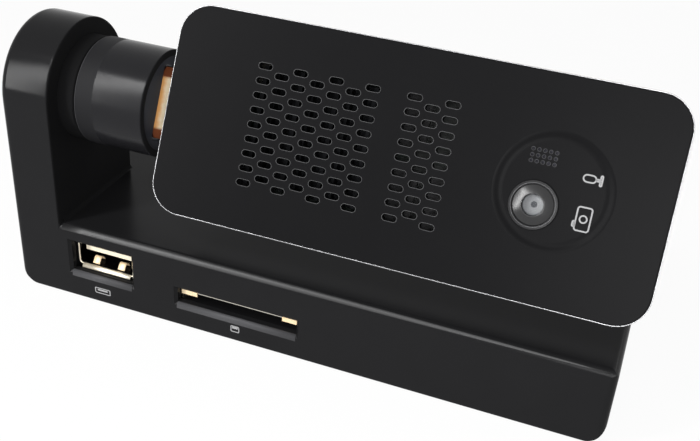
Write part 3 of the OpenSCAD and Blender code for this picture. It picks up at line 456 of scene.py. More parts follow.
# Finishes of the record's slots, and after them those of single pieces
FINISHES: dict[str, Finish] = {
    # Grained ABS, nearly black with a faint sheen: dead matte on collar and cheek, which painted shade darkens,
    # and smooth on the arm's head
    "dock_plastic": MouldedPlastic("black_abs_grained", "#1a1a1b", 0.21, 0.055, zones=(
        FinishZone((-50.3, -46.7), 25.0),
        FinishZone((-50.6, -49.5), 17.15),
        FinishZone((-61.5, -50.6), 26.0, 0.1, 1.0))),
    "cover_plastic": MouldedPlastic("black_abs_cover", "#19191a", 0.42, 0.1),
    # Satin ABS: a clear highlight along the barrel, which its matte root and rim cut off, with painted shade
    # darkening the root a little and the rim more
    "barrel_plastic": MouldedPlastic("black_abs_satin", "#19191b", 0.21, 0.12, 0.15, 0.005, zones=(
        FinishZone((-60.0, -42.8), -1.0, 0.6, 0.8),
        FinishZone((-32.5, 0.0)))),
    # Soft-touch lacquer with hardly a highlight, and polished ABS with small clear ones
    "plate_plastic": MouldedPlastic("soft_touch_black", "#131314", 0.36, 0.03, 0.16, 0.006, 9.0, 0.05),
    "bezel_plastic": MouldedPlastic("polished_black_abs", "#19191a", 0.2, 0.3, 0.12, 0.002),
    # Waxy nylon and vinyl, sandy epoxy, ceramic with a wet look, and chalky silicone
    "black_nylon": MouldedPlastic("black_nylon", "#131314", 0.5, 0.15),
    "cream_nylon": MouldedPlastic("cream_nylon", "#f6ecd4", 0.45, 0.5, 0.2, 0.006),
    "wire_vinyl": MouldedPlastic("black_vinyl", "#262628", 0.5, 0.4),
    "chip_epoxy": MouldedPlastic("black_epoxy", "#202022", 0.5, 0.4, 0.1, 0.01),
    "ceramic": MouldedPlastic("glazed_ceramic", "#d8d0bb", 0.25, 0.5),
    "gap_pad": MouldedPlastic("silicone_gap_pad", "#8d95a0", 0.7, 0.3, 0.3, 0.02),
    # A board whose tracks just show through black lacquer, and dusty rubber
    "circuit_board": SolderMask("black_solder_mask", "#0f1412", "#1c2420"),
    "pad_rubber": RibbedRubber("black_ribbed_rubber", "#131313"),
    # A dim sheen on oxidised steel, long rolling marks on bare steel and tin, and a dark even blasted metal
    "screw_steel": SheetMetal("black_oxide_steel", "#45454a", "#2c2c30", Surface.STAMPED, 0.35),
    "spring_steel": SheetMetal("spring_steel", "#b6b6b8", "#9a9a9c"),
    "tinned_sheet": SheetMetal("tinned_sheet", "#e2ded4", "#c6c1b6"),
    "sink_aluminium": SheetMetal("black_anodised_aluminium", "#28292b", "#0c0c0d", Surface.BLASTED, 0.5,
                                 patch=8.0),
    # Gold plate, pale, with a deeper band that is the barrel rim's painted shadow and copper flanks that are
    # painted dark reflection; and yellower gilt
    "gold_shell": SheetMetal("gold_plate", "#fff6de", "#fcdfae", Surface.STAMPED, 0.5, 0.2, 0.02, 1.2, 0.1,
                             RimShadowBand("#e8aa66", (-33.1, -32.1)), PaintedReflectionFlanks("#8a4c2e", 4.95)),
    "gilt_contact": SheetMetal("gilt_contact", "#f8d9a0", "#e0b066", Surface.STAMPED, 0.3),
    # A dark sensor, a pale lens whose grey is painted reflection, and a nearly clear window
    "sensor_glass": ClearGlass("sensor_glass", "#1c2230", 0.1),
    "lens_glass": ClearGlass("painted_reflection_lens", "#747678", 0.3),
    "window_glass": ClearGlass("cover_glass", "#50545a", 0.03, 0.06),
    # Round the lens: gloss black, a thin grey line of chrome that is a painted highlight, and a dark spot
    "hood_gloss": MouldedPlastic("gloss_black_hood", "#161617", 0.24, 0.5, 0.12, 0.001),
    "painted_highlight_ring": SheetMetal("painted_highlight_chrome", "#6c6c6e", "#5c5c5e", Surface.ROLLED, 0.4),
    "lens_iris": MouldedPlastic("dark_iris", "#303236", 0.4, 0.3, 0.05, 0.001),
    # Pale edges that are painted highlights on the slots, holes, port lips and the barrel's seam; an edge that
    # handling has made shinier; and a bright metal bead that is a painted highlight on the plate's chamfer
    "painted_highlight_lip": MouldedPlastic("painted_highlight_lip_edge", "#4e4e4f", 0.5, 0.2, 0.1, 0.002),
    "painted_highlight_dim_lip": MouldedPlastic("painted_highlight_dim_edge", "#414143", 0.5, 0.2, 0.1, 0.002),
    "painted_highlight_seam": MouldedPlastic("painted_highlight_seam_edge", "#3a3a3c", 0.5, 0.12, 0.1, 0.002),
    "rubbed_edge": MouldedPlastic("rubbed_black_abs", "#1a1a1b", 0.4, 0.42, 0.22, 0.006),
    "painted_highlight_bead": SheetMetal("painted_highlight_metal_bead", "#b4b4b6", "#a2a2a4", Surface.ROLLED, 0.25),
    # Flat grey ink; a matte blue-black mouth; a dark metal that mirrors, painted shade inside the sockets and
    # behind the microphone holes; and pale tin and gilt, painted highlights on the USB shell's rim, lip and
    # springs and on the card's clips
    "light_ink": MouldedPlastic("grey_pad_print", "#969697", 0.6, 0.2, 0.05, 0.001),
    "mouth_plastic": MouldedPlastic("blue_black_nylon", "#393c43", 0.6, 0.08, 0.15, 0.004),
    "painted_shade_nickel": SheetMetal("painted_shade_nickel", "#2a2a2e", "#1e1e22"),
    "painted_highlight_tin": SheetMetal("painted_highlight_tin", "#fdf6e6", "#f0e6d0", Surface.ROLLED, 0.5),
    "painted_highlight_gilt": SheetMetal("painted_highlight_gilt", "#fff0d2", "#ffd9a2", Surface.STAMPED, 0.45, metallic=0.2),
}
# A dark metal on the sockets' shells and the microphone, in place of their slots' finishes: painted shade
OWN_FINISH: dict[str, str] = {
    "socket_shell": "painted_shade_nickel", "usb_shell": "painted_shade_nickel", "microphone": "painted_shade_nickel"}


@cache
def finish_of(name: str) -> bpy.types.Material:
    """The material of a finish, made when it is first asked for."""
    return FINISHES[name].build()


def dress_solids() -> None:
    """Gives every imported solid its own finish, or else that of its slot in the record."""
    for row in frame["record"]["subparts"]:
        node = row["node"]
        finish = OWN_FINISH.get(node, row["material_slot"])
        mesh = frame["nodes"][node].data
        mesh.materials.clear()
        mesh.materials.append(finish_of(finish))
        LOG.info("solid %s is dressed in %s", node, finish)


def stack(*values: np.ndarray | float) -> np.ndarray:
    """Puts values side by side on a new last axis, each one repeated to the shape of the largest."""
    return np.stack(np.broadcast_arrays(*values), axis=-1)


def box_mm(node: str) -> np.ndarray:
    """Lowest and highest corner of a node at rest, in millimetres."""
    return np.array(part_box(node)) / MM


def box_outline(half_l: float, half_w: float, r: float, steps: int) -> Outline:
    """Outline of a rectangle with round corners: a point is a corner's centre plus r times its normal.

    Args:
        half_l: Half of its length.
        half_w: Half of its width.
        r: Radius of the corners. A radius of half the width makes a slot, and of both a circle.
        steps: Points on each corner.

    Returns:
        Points and outward normals, each of shape (4 * steps, 2).
    """
    turn = (np.arange(4)[:, None] + np.linspace(0.0, 1.0, steps)) * TURN / 4.0
    normal = stack(np.cos(turn), np.sin(turn))
    corner = np.array([(1, 1), (-1, 1), (-1, -1), (1, -1)])[:, None, :] * (half_l - r, half_w - r)
    return (corner + r * normal).reshape(-1, 2), normal.reshape(-1, 2)


def ring(outline: Outline, section: np.ndarray) -> np.ndarray:
    """Carries a section round an outline: a point is the outline plus its normal times the section's reach.

    Args:
        outline: Points and normals of the outline.
        section: Reach outwards and height of each point of the section, of shape (m, 2).

    Returns:
        Points of shape (n, m, 3).
    """
    points, normals = outline
    flat = points[:, None, :] + normals[:, None, :] * section[None, :, :1]
    return stack(flat[..., 0], flat[..., 1], section[None, :, 1])


def round_section(r: float, reach: float = 0.0, height: float = 0.0, steps: int = 6) -> np.ndarray:
    """Section of a bead: points of a small circle."""
    turn = np.arange(steps) * TURN / steps
    return stack(reach + r * np.cos(turn), height + r * np.sin(turn))


def bar_section(width: float, height: float) -> np.ndarray:
    """Section of a printed line: a flat rectangle about the outline."""
    return np.array([(-width / 2, 0.0), (width / 2, 0.0), (width / 2, height), (-width / 2, height)])


def revolve(profile: np.ndarray, steps: int) -> np.ndarray:
    """Turns a profile of radius and height about the third axis: x is r cos t and y is r sin t.

    Args:
        profile: Radius and height of each point, of shape (m, 2).
        steps: Copies of the profile in a turn.

    Returns:
        Points of shape (steps, m, 3).
    """
    turn = (np.arange(steps) * TURN / steps)[:, None]
    r = profile[None, :, 0]
    return stack(r * np.cos(turn), r * np.sin(turn), profile[None, :, 1])


def cap(r: float, foot: float, rise: float, thick: float, rings: int, steps: int) -> np.ndarray:
    """Turns a lens: its face falls by the rise with the square of the radius, and its back is flat.

    Args:
        r: Radius.
        foot: Height of the face at its rim.
        rise: Height of the face's middle over its rim.
        thick: Depth of the back under the rim.
        rings: Points from the middle to the rim.
        steps: Points in a turn.

    Returns:
        Points of shape (steps, rings + 2, 3).
    """
    out = np.linspace(0.0, r, rings)
    face = stack(out, foot + rise * (1.0 - (out / r) ** 2))
    back = np.array([(r, foot - thick), (0.0, foot - thick)])
    return revolve(np.concatenate([face, back]), steps)


def along_x(section: np.ndarray, ends: tuple[float, float]) -> np.ndarray:
    """Points in metres, of shape (2, m, 3), of a section in Y and Z that is drawn out along X to two ends."""
    return stack(np.array(ends)[:, None], section[:, 0], section[:, 1]) * MM


def lean_back(along: np.ndarray, up: np.ndarray, out: np.ndarray) -> np.ndarray:
    """Turns the stick's own directions to the frame's: up and out turn by the lean about the swivel's axis.

    Args:
        along: X of the points in millimetres.
        up: Distance up the stick's width.
        out: Distance before the axis, out of the stick's face.

    Returns:
        Points in metres, with the three values on a new last axis.
    """
    y = up * math.sin(LEAN) - out * math.cos(LEAN)
    z = AXIS_Z + up * math.cos(LEAN) + out * math.sin(LEAN)
    return stack(along, y, z) * MM


def on_plate(local: np.ndarray) -> np.ndarray:
    """Points in metres, from millimetres along the stick, up its width and out of its plate's face."""
    start = box_mm("face_plate")[0, 0]
    return lean_back(start + local[..., 0], local[..., 1], FACE_OFF + local[..., 2])


def add_piece(name: str, points: np.ndarray, body: Body, slot: str, finish: str = "",
              wrap: tuple[bool, bool] = (True, True), smooth: bool = True) -> bpy.types.Object:
    """Makes a piece from equal grids, each point joined to the next in its row and column, on a body.

    Args:
        name: Name of the piece.
        points: Points in metres, of shape (copies, rows, columns, 3).
        body: Body that carries it.
        slot: Material slot of the record.
        finish: Finish, where it isn't the slot's own.
        wrap: Whether the last row and the last column join the first. Open ends are closed with a face.
        smooth: Whether it is shaded smooth.

    Returns:
        The new object.
    """
    copies, rows, cols, _ = points.shape
    row = np.arange(rows if wrap[0] else rows - 1)[:, None]
    col = np.arange(cols if wrap[1] else cols - 1)[None, :]
    down, along = (row + 1) % rows, (col + 1) % cols
    quads = stack(row * cols + col, down * cols + col, down * cols + along, row * cols + along)
    faces = quads.reshape(1, -1, 4) + np.arange(copies)[:, None, None] * rows * cols
    mesh = bpy.data.meshes.new(name)
    mesh.from_pydata(points.reshape(-1, 3).tolist(), [], faces.reshape(-1, 4).tolist())
    form = bmesh.new()
    form.from_mesh(mesh)
    bmesh.ops.remove_doubles(form, verts=form.verts, dist=MERGE * MM)
    bmesh.ops.holes_fill(form, edges=form.edges)
    bmesh.ops.recalc_face_normals(form, faces=form.faces)
    form.to_mesh(mesh)
    form.free()
    mesh.polygons.foreach_set("use_smooth", np.full(len(mesh.polygons), smooth))
    mesh.materials.append(finish_of(finish or slot))
    made = bpy.data.objects.new(name, mesh)
    bpy.context.scene.collection.objects.link(made)
    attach(made, body.value)
    LOG.info("piece %s has %d faces", name, len(mesh.polygons))
    return made


class Mark(NamedTuple):
    """One line of a printed sign, which runs round a rectangle with round corners."""

    x: float
    y: float
    half_l: float
    half_w: float
    r: float


# A camera's body, lens and button, a microphone's capsule, stem and foot, a plug with its tongue, and a card
# with its contacts
CAMERA_SIGN = (Mark(0.0, 0.0, 2.0, 1.2, 0.4), Mark(0.0, 0.0, 0.6, 0.6, 0.6),
               Mark(-1.0, 1.45, 0.45, 0.16, 0.16))
MICROPHONE_SIGN = (Mark(0.0, 0.45, 0.6, 1.05, 0.6), Mark(0.0, -1.0, 0.16, 0.35, 0.16),
                   Mark(0.0, -1.45, 0.85, 0.16, 0.16))
PLUG_SIGN = (Mark(0.0, 0.0, 1.7, 0.6, 0.15), Mark(0.0, 0.15, 1.1, 0.11, 0.11))
CARD_SIGN = (Mark(0.0, 0.0, 0.85, 0.65, 0.2),
             *(Mark(step, 0.32, 0.11, 0.2, 0.11) for step in (-0.4, 0.0, 0.4)))
SIGN_STEPS = 6


def draw_sign(sign: tuple[Mark, ...], x: float, line: np.ndarray) -> np.ndarray:
    """Draws a sign: the line's section is carried round the outline of each mark.

    Args:
        sign: Marks of the sign.
        x: Where its middle lies along the first axis.
        line: Section of the printed line, of shape (m, 2).

    Returns:
        Points of shape (marks, n, m, 3).
    """
    return np.stack([
        ring(box_outline(mark.half_l, mark.half_w, mark.r, SIGN_STEPS), line) + (x + mark.x, mark.y, 0.0)
        for mark in sign])


@dataclass
class FrontPlate:
    """Front plate of the stick: pale lips of its slots and holes and a bright bead at the foot of its chamfer, all
    painted highlights, and its signs.
    """

    length: float = 92.4
    width: float = 39.2
    corner_r: float = 6.0
    chamfer: float = 0.35
    edge_r: float = 0.11
    edge_in: float = 0.055
    slot_l: float = 2.7
    slot_h: float = 1.15
    step_x: float = 3.42
    step_y: float = 2.68
    rows: int = 9
    # Middle of each field's first column, and its columns
    fields: tuple[tuple[float, int], ...] = ((18.1, 7), (46.3, 3))
    lip_r: float = 0.05
    lip_out: float = 0.045
    lens_x: float = 70.0
    mic_y: float = 5.4
    mic_r: float = 0.28
    mic_step: float = 1.0
    mic_cols: int = 5
    mic_rows: int = 3
    dish_depth: float = 0.5
    sign_x: float = 78.6
    sign_y: float = 3.4
    line_w: float = 0.26
    line_t: float = 0.02

    def slot_places(self) -> np.ndarray:
        """Middles of the slots, of shape (k, 2): even columns have all the rows, and odd ones one less."""
        return np.array([
            (x + col * self.step_x, (row - (self.rows - col % 2 - 1) / 2.0) * self.step_y)
            for x, cols in self.fields for col in range(cols) for row in range(self.rows - col % 2)])

    def lips(self, outline: Outline, places: np.ndarray, height: float) -> np.ndarray:
        """Points of beads round equal openings: a small circle is carried round the outline at each place.

        Args:
            outline: Points and normals of one opening.
            places: Middles of the openings, of shape (k, 2).
            height: Height of the face that they lie on.

        Returns:
            Points of shape (k, n, m, 3), in metres.
        """
        one = ring(outline, round_section(self.lip_r, self.lip_out, height, steps=5))
        shift = stack(places[:, 0], places[:, 1], 0.0)
        return on_plate(one[None] + shift[:, None, None, :])

    def build_lips(self) -> None:
        """Adds the lips of the vent slots and of the microphone holes, whose pale colours are painted highlights.
        """
        slot = box_outline(self.slot_l / 2, self.slot_h / 2, self.slot_h / 2, steps=5)
        add_piece("vent_lips", self.lips(slot, self.slot_places(), 0.0),
                  Body.STICK, "plate_plastic", "painted_highlight_lip")
        cols, rows = np.meshgrid(np.arange(self.mic_cols) - self.mic_cols // 2,
                                 np.arange(self.mic_rows) - self.mic_rows // 2)
        places = stack(self.lens_x + cols.ravel() * self.mic_step,
                       self.mic_y + rows.ravel() * self.mic_step)
        hole = box_outline(self.mic_r, self.mic_r, self.mic_r, steps=4)
        add_piece("mic_lips", self.lips(hole, places, -self.dish_depth),
                  Body.STICK, "plate_plastic", "painted_highlight_dim_lip")

    def build_edge(self) -> None:
        """Adds a bright metal bead, a painted highlight of the chamfer, that runs round the plate at the foot of
        its chamfer.
        """
        outline = box_outline(self.length / 2, self.width / 2, self.corner_r, steps=12)
        bead = ring(outline, round_section(self.edge_r, -self.edge_in, -self.chamfer))
        add_piece("plate_edge", on_plate(bead + (self.length / 2, 0.0, 0.0))[None],
                  Body.STICK, "plate_plastic", "painted_highlight_bead")

    def build_signs(self) -> None:
        """Adds a camera sign and a microphone sign, which read up the plate's width."""
        line = bar_section(self.line_w, self.line_t)
        drawn = np.concatenate([draw_sign(CAMERA_SIGN, -self.sign_y, line),
                                draw_sign(MICROPHONE_SIGN, self.sign_y, line)])
        turned = stack(self.sign_x - drawn[..., 1], drawn[..., 0], drawn[..., 2] - self.dish_depth)
        add_piece("plate_marks", on_plate(turned), Body.STICK, "plate_plastic", "light_ink", smooth=False)

    def build(self) -> None:
        """Adds all of the plate's pieces."""
        self.build_lips()
        self.build_edge()
        self.build_signs()


@dataclass
class CameraEye:
    """The camera's look: a gloss ring inside a thin bright ring that is a painted highlight, and a front lens
    whose pale grey is painted reflection, with its pupil.
    """

    middle: tuple[float, float] = (70.0, -2.9)
    steps: int = 72
    highlight_ring_r: float = 3.78
    highlight_ring_wire: float = 0.035
    highlight_ring_z: float = -0.2
    dome_r: float = 3.7
    dome_in_r: float = 1.88
    dome_z: float = -0.47
    dome_t: float = 0.02
    dome_slopes_deg: tuple[float, float] = (26.0, 17.0)
    glass_r: float = 1.85
    glass_z: float = -1.0
    glass_rise: float = 0.08
    glass_t: float = 1.0
    pupil_r: float = 0.55
    pupil_at: tuple[float, float] = (0.14, 0.1)
    pupil_rise: float = 0.015
    pupil_t: float = 0.1

    def put(self, points: np.ndarray, shift: tuple[float, float] = (0.0, 0.0)) -> np.ndarray:
        """Places points given about the lens, in metres, as one grid."""
        return on_plate(points + (self.middle[0] + shift[0], self.middle[1] + shift[1], 0.0))[None]

    def build_trim(self) -> None:
        """Adds the bright ring round the window, a painted highlight of the bezel's edge: a wire bent to a circle.
        """
        outline = box_outline(self.highlight_ring_r, self.highlight_ring_r, self.highlight_ring_r, steps=18)
        wire = ring(outline, round_section(self.highlight_ring_wire, 0.0, self.highlight_ring_z, steps=8))
        add_piece("lens_highlight_ring", self.put(wire), Body.STICK, "bezel_plastic", "painted_highlight_ring")

    def build_dome(self) -> None:
        """Adds the gloss ring over the window: its height adds up slopes that ease from rim to opening."""
        r = np.linspace(self.dome_r, self.dome_in_r, num=14)
        slope = np.tan(np.radians(np.linspace(*self.dome_slopes_deg, num=len(r))))
        rise = np.concatenate([[0.0], np.cumsum((slope[1:] + slope[:-1]) / 2 * -np.diff(r))])
        face = stack(r, self.dome_z + rise)
        low = self.dome_z - self.dome_t
        under = np.array([(self.dome_in_r, low), (self.dome_r, low)])
        add_piece("lens_dome", self.put(revolve(np.concatenate([face, under]), self.steps)),
                  Body.STICK, "bezel_plastic", "hood_gloss")

    def build_glass(self) -> None:
        """Adds the front lens, whose pale grey is painted reflection, and the dark pupil on it."""
        lens = cap(self.glass_r, self.glass_z, self.glass_rise, self.glass_t, rings=12, steps=self.steps)
        glass = add_piece("front_lens", self.put(lens), Body.STICK, "lens_glass", wrap=(True, False))
        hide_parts("lens_glass")
        top = self.glass_z + self.glass_rise
        pupil = cap(self.pupil_r, top, self.pupil_rise, self.pupil_t, rings=6, steps=32)
        add_piece("lens_pupil", self.put(pupil, self.pupil_at),
                  Body.STICK, "lens_glass", "lens_iris", wrap=(True, False))

    def build(self) -> None:
        """Adds all of the eye's pieces."""
        self.build_trim()
        self.build_dome()
        self.build_glass()


@dataclass
class PortFace:
    """The dock's port face: metal in the sockets, lips under them, the bar's rubbed edge and the signs. Pale
    colours on the lips, on the USB shell's rim, lip and springs and on the card's clips are painted highlights.
    """

    # Rubbed upper edge of the bar
    bar_top: float = 17.1
    edge_r: float = 1.5
    edge_proud: float = 0.012
    edge_sunk: float = 0.3
    edge_ends: tuple[float, float] = (-50.0, 59.4)
    edge_reach: tuple[float, float] = (0.62, 0.06)
    # Openings of the USB and the card socket: width and floor, and depth and height of the lips there
    cut_w: tuple[float, float] = (13.8, 25.6)
    cut_z: tuple[float, float] = (6.7, 5.9)
    low_lip: tuple[float, float] = (0.65, 1.3)
    low_lip_lift: float = 0.12
    low_lip_sunk: float = 0.3
    low_lip_over_deg: float = 7.0
    # USB socket: its sheet, the bead on its rim, its lower lip and its springs
    sheet: float = 0.35
    rim_r: float = 0.2
    rim_proud: float = 0.05
    rim_corner: float = 0.8
    lip_r: float = 0.75
    lip_t: float = 0.2
    lip_in: float = 1.0
    spring_x: float = 2.9
    spring_w: float = 1.5
    spring_l: float = 2.4
    spring_h: float = 1.15
    spring_in: float = 0.3
    spring_t: float = 0.2
    # Clips of the card socket
    clip_hang: float = 1.35
    clip_t: float = 0.2
    clip_l: float = 3.4
    clip_gap: float = 0.05
    clip_bend: float = 0.2
    clip_cut: float = 0.06
    # Signs under the sockets
    sign_z: float = 3.4
    line_w: float = 0.19
    line_t: float = 0.02

    def middle_x(self, node: str) -> float:
        """Middle of a node along X, in millimetres."""
        return float(box_mm(node)[:, 0].mean())

    def face_y(self) -> float:
        """Y of the dock's front face, in millimetres."""
        return float(box_mm("dock_shell")[0, 1])

    def sheet_section(self, path: np.ndarray, thick: float) -> np.ndarray:
        """Section of a bent sheet: the path, and back along it at a thickness to its right.

        Args:
            path: Points of one face in Y and Z, of shape (n, 2).
            thick: Thickness of the sheet, which is negative where the sheet lies to the left.

        Returns:
            Points round the section, of shape (2 * n, 2).
        """
        ahead = np.gradient(path, axis=0)
        ahead /= np.linalg.norm(ahead, axis=1, keepdims=True)
        right = stack(ahead[:, 1], -ahead[:, 0])
        return np.concatenate([path, (path + thick * right)[::-1]])

    def build_edge(self) -> None:
        """Adds the rubbed upper edge of the bar: an arc about its rounding.

        The arc narrows with the square of the length, and its borders sink into the bar.
        """
        s = np.linspace(0.0, 1.0, num=24)[:, None]
        reach = self.edge_reach[0] + (self.edge_reach[1] - self.edge_reach[0]) * s ** 2
        a = TURN / 8.0 + reach * np.linspace(-1.0, 1.0, num=11)
        r = np.full(a.shape, self.edge_r + self.edge_proud)
        r[:, [0, -1]] = self.edge_r - self.edge_sunk
        x = self.edge_ends[0] + (self.edge_ends[1] - self.edge_ends[0]) * s
        y = self.face_y() + self.edge_r - r * np.cos(a)
        z = self.bar_top - self.edge_r + r * np.sin(a)
        add_piece("rubbed_edge", stack(x, y, z)[None] * MM,
                  Body.DOCK, "dock_plastic", "rubbed_edge", wrap=(False, True))

    def build_low_lips(self) -> None:
        """Adds the rounded lips under the two openings.

        A lip's section is a quarter of an ellipse from the opening's floor to the face, and a little over. It
        is lifted by the sine of twice the angle, so that it clears the chamfer.
        """
        depth, height = self.low_lip
        over = self.low_lip_over_deg
        a = np.radians(np.linspace(-over, 90.0 + over, num=15))
        arc = stack(depth * (1.0 - np.sin(a)) - self.low_lip_lift * np.sin(2.0 * a),
                    height * (np.cos(a) - 1.0))
        inner = np.array([(self.low_lip_sunk, -height), (depth, -self.low_lip_sunk)])
        section = np.concatenate([arc, inner])
        lips = []
        for node, width, floor in zip(("usb_shell", "sd_shell"), self.cut_w, self.cut_z):
            middle = self.middle_x(node)
            lips.append(along_x(section + (self.face_y(), floor), (middle - width / 2, middle + width / 2)))
        # The pale colour of the lips is a painted highlight
        add_piece("port_lips", np.stack(lips), Body.DOCK, "dock_plastic", "painted_highlight_dim_lip", wrap=(False, True))

    def build_usb_rim(self) -> None:
        """Adds the bright rim of the USB shell, a painted highlight in pale tin: a bead on a rectangle with round
        corners.
        """
        low, high = box_mm("usb_shell")
        middle = (low + high) / 2
        half = (high - low) / 2 - self.rim_r / 2
        bead = ring(box_outline(half[0], half[2], self.rim_corner, steps=5),
                    round_section(self.rim_r, 0.0, self.rim_proud))
        rim = stack(middle[0] + bead[..., 0], low[1] - bead[..., 2], middle[2] + bead[..., 1])
        add_piece("usb_rim", rim[None] * MM, Body.DOCK, "tinned_sheet", "painted_highlight_tin")

    def build_usb_lip(self) -> None:
        """Adds the lower lip of the USB shell in pale tin, a painted highlight: a sheet bent outwards by a quarter
        turn.
        """
        low, high = box_mm("usb_shell")
        floor = low[2] + self.sheet
        a = np.linspace(0.0, 1.0, num=9) * TURN / 4.0
        bent = stack(low[1] - self.lip_r * np.sin(a), floor - self.lip_r * (1.0 - np.cos(a)))
        lip = along_x(self.sheet_section(bent, -self.lip_t), (low[0] + self.lip_in, high[0] - self.lip_in))
        add_piece("usb_lip", lip[None], Body.DOCK, "tinned_sheet", "painted_highlight_tin", wrap=(False, True))

    def build_usb_springs(self) -> None:
        """Adds two springs on the USB shell's floor, in pale gilt that is a painted highlight: each rises along
        half a sine wave.
        """
        low = box_mm("usb_shell")[0]
        middle = self.middle_x("usb_shell")
        s = np.linspace(0.0, 1.0, num=15)
        floor = low[2] + self.sheet + self.spring_t
        rise = stack(low[1] + self.spring_in + s * self.spring_l,
                     floor + self.spring_h * np.sin(s * TURN / 2.0))
        section = self.sheet_section(rise, self.spring_t)
        leaves = np.stack([along_x(section, (x - self.spring_w / 2, x + self.spring_w / 2))
                           for x in (middle - self.spring_x, middle + self.spring_x)])
        add_piece("usb_springs", leaves, Body.DOCK, "gilt_contact", "painted_highlight_gilt", wrap=(False, True))

    def build_clips(self) -> None:
        """Adds the card socket's clips in pale gilt, a painted highlight: strips that lie on the shell and bend
        down before its mouth.
        """
        low, high = box_mm("sd_clips")
        front = low[1] - self.clip_t - self.clip_gap
        top = high[2]
        path = np.array([(high[1], top), (front + self.clip_bend, top),
                         (front + self.clip_cut, top - self.clip_cut),
                         (front, top - self.clip_bend), (front, top - self.clip_hang)])
        section = self.sheet_section(path, -self.clip_t)
        ends = ((low[0], low[0] + self.clip_l), (high[0] - self.clip_l, high[0]))
        clips = add_piece("card_clips", np.stack([along_x(section, pair) for pair in ends]),
                          Body.DOCK, "gilt_contact", "painted_highlight_gilt", wrap=(False, True), smooth=False)
        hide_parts("sd_clips")

    def build_signs(self) -> None:
        """Adds a plug outline under the USB socket and a card outline under the card slot."""
        line = bar_section(self.line_w, self.line_t)
        drawn = np.concatenate([draw_sign(PLUG_SIGN, self.middle_x("usb_shell"), line),
                                draw_sign(CARD_SIGN, self.middle_x("sd_shell"), line)])
        placed = stack(drawn[..., 0], self.face_y() - drawn[..., 2], self.sign_z + drawn[..., 1])
        add_piece("port_marks", placed * MM, Body.DOCK, "dock_plastic", "light_ink", smooth=False)

    def build(self) -> None:
        """Adds all of the port face's pieces."""
        self.build_edge()
        self.build_low_lips()
        self.build_usb_rim()
        self.build_usb_lip()
        self.build_usb_springs()
        self.build_clips()
        self.build_signs()


@dataclass
class SwivelEnd:
    """The swivel's look: a plate that fills the barrel's mouth round the plug, and a pale ring at its inner edge
    that is a painted highlight.
    """

    barrel_r: float = 10.6
    # From the dock's left side to where the barrel leaves the collar
    barrel_off: float = 14.4
    edge_in: float = 0.12
    edge_wire: float = 0.1
    mouth_r: float = 9.35
    plug_half: tuple[float, float] = (7.45, 2.75)
    plug_corner: float = 0.9
    sunk: float = 0.9
    plate_t: float = 0.5

    def put(self, points: np.ndarray, x: float) -> np.ndarray:
        """Places points given up the stick's width, out of its face and along the axis, as one grid."""
        return lean_back(x + points[..., 2], points[..., 0], points[..., 1])[None]

    def build_mouth(self) -> None:
        """Adds the mouth's plate: a circle outside, the plug's outline inside and lines between."""
        outside, _ = box_outline(self.mouth_r, self.mouth_r, self.mouth_r, steps=16)
        inside, _ = box_outline(*self.plug_half, self.plug_corner, steps=16)
        flat = np.stack([outside, inside, inside, outside], axis=1)
        depth = np.array([0.0, 0.0, -self.plate_t, -self.plate_t])
        plate = stack(flat[..., 0], flat[..., 1], depth)
        add_piece("mouth_plate", self.put(plate, box_mm("swivel_barrel")[1, 0] - self.sunk),
                  Body.SWIVEL, "black_nylon", "mouth_plastic", smooth=False)

    def build_seam(self) -> None:
        """Adds a pale ring on the barrel's edge beside the collar, a painted highlight: a wire bent to a circle.
        """
        r = self.barrel_r - self.edge_in
        wire = ring(box_outline(r, r, r, steps=32), round_section(self.edge_wire))
        start = box_mm("dock_shell")[0, 0] + self.barrel_off
        add_piece("seam_edge", self.put(wire, start + self.edge_in),
                  Body.SWIVEL, "barrel_plastic", "painted_highlight_seam")

    def build(self) -> None:
        """Adds both of the swivel's pieces."""
        self.build_mouth()
        self.build_seam()


@dataclass(frozen=True)
class CrossScrew:
    """Countersunk screw with a cross recess."""

    head_r: float
    head_t: float
    shank_r: float
    length: float
    recess_d: float = 0.6
    arm_w: float = 0.3
    # Width of the slope at an arm's side, an arm's share of the head's radius, and the slope at its end
    side_slope: float = 0.1
    arm_share: float = 0.65
    end_slope: float = 0.3
    face_rings: int = 14
    steps: int = 64

    def form(self) -> np.ndarray:
        """Works out a screw whose face is at height zero: the face sinks by the deeper of two arms' masks.

        Returns:
            Points of shape (steps, m, 3), in millimetres.
        """
        face = stack(np.linspace(0.0, self.head_r, self.face_rings), 0.0)
        body = np.array([(self.shank_r, self.head_t), (self.shank_r, self.length), (0.0, self.length)])
        points = revolve(np.concatenate([face, body]), self.steps)
        x, y = np.abs(points[:, :self.face_rings, 0]), np.abs(points[:, :self.face_rings, 1])
        arm_l = self.arm_share * self.head_r
        arms = [np.clip((self.arm_w - across) / self.side_slope, 0.0, 1.0)
                * np.clip((arm_l - reach) / self.end_slope, 0.0, 1.0) for across, reach in ((x, y), (y, x))]
        points[:, :self.face_rings, 2] += self.recess_d * np.maximum(*arms)
        return points


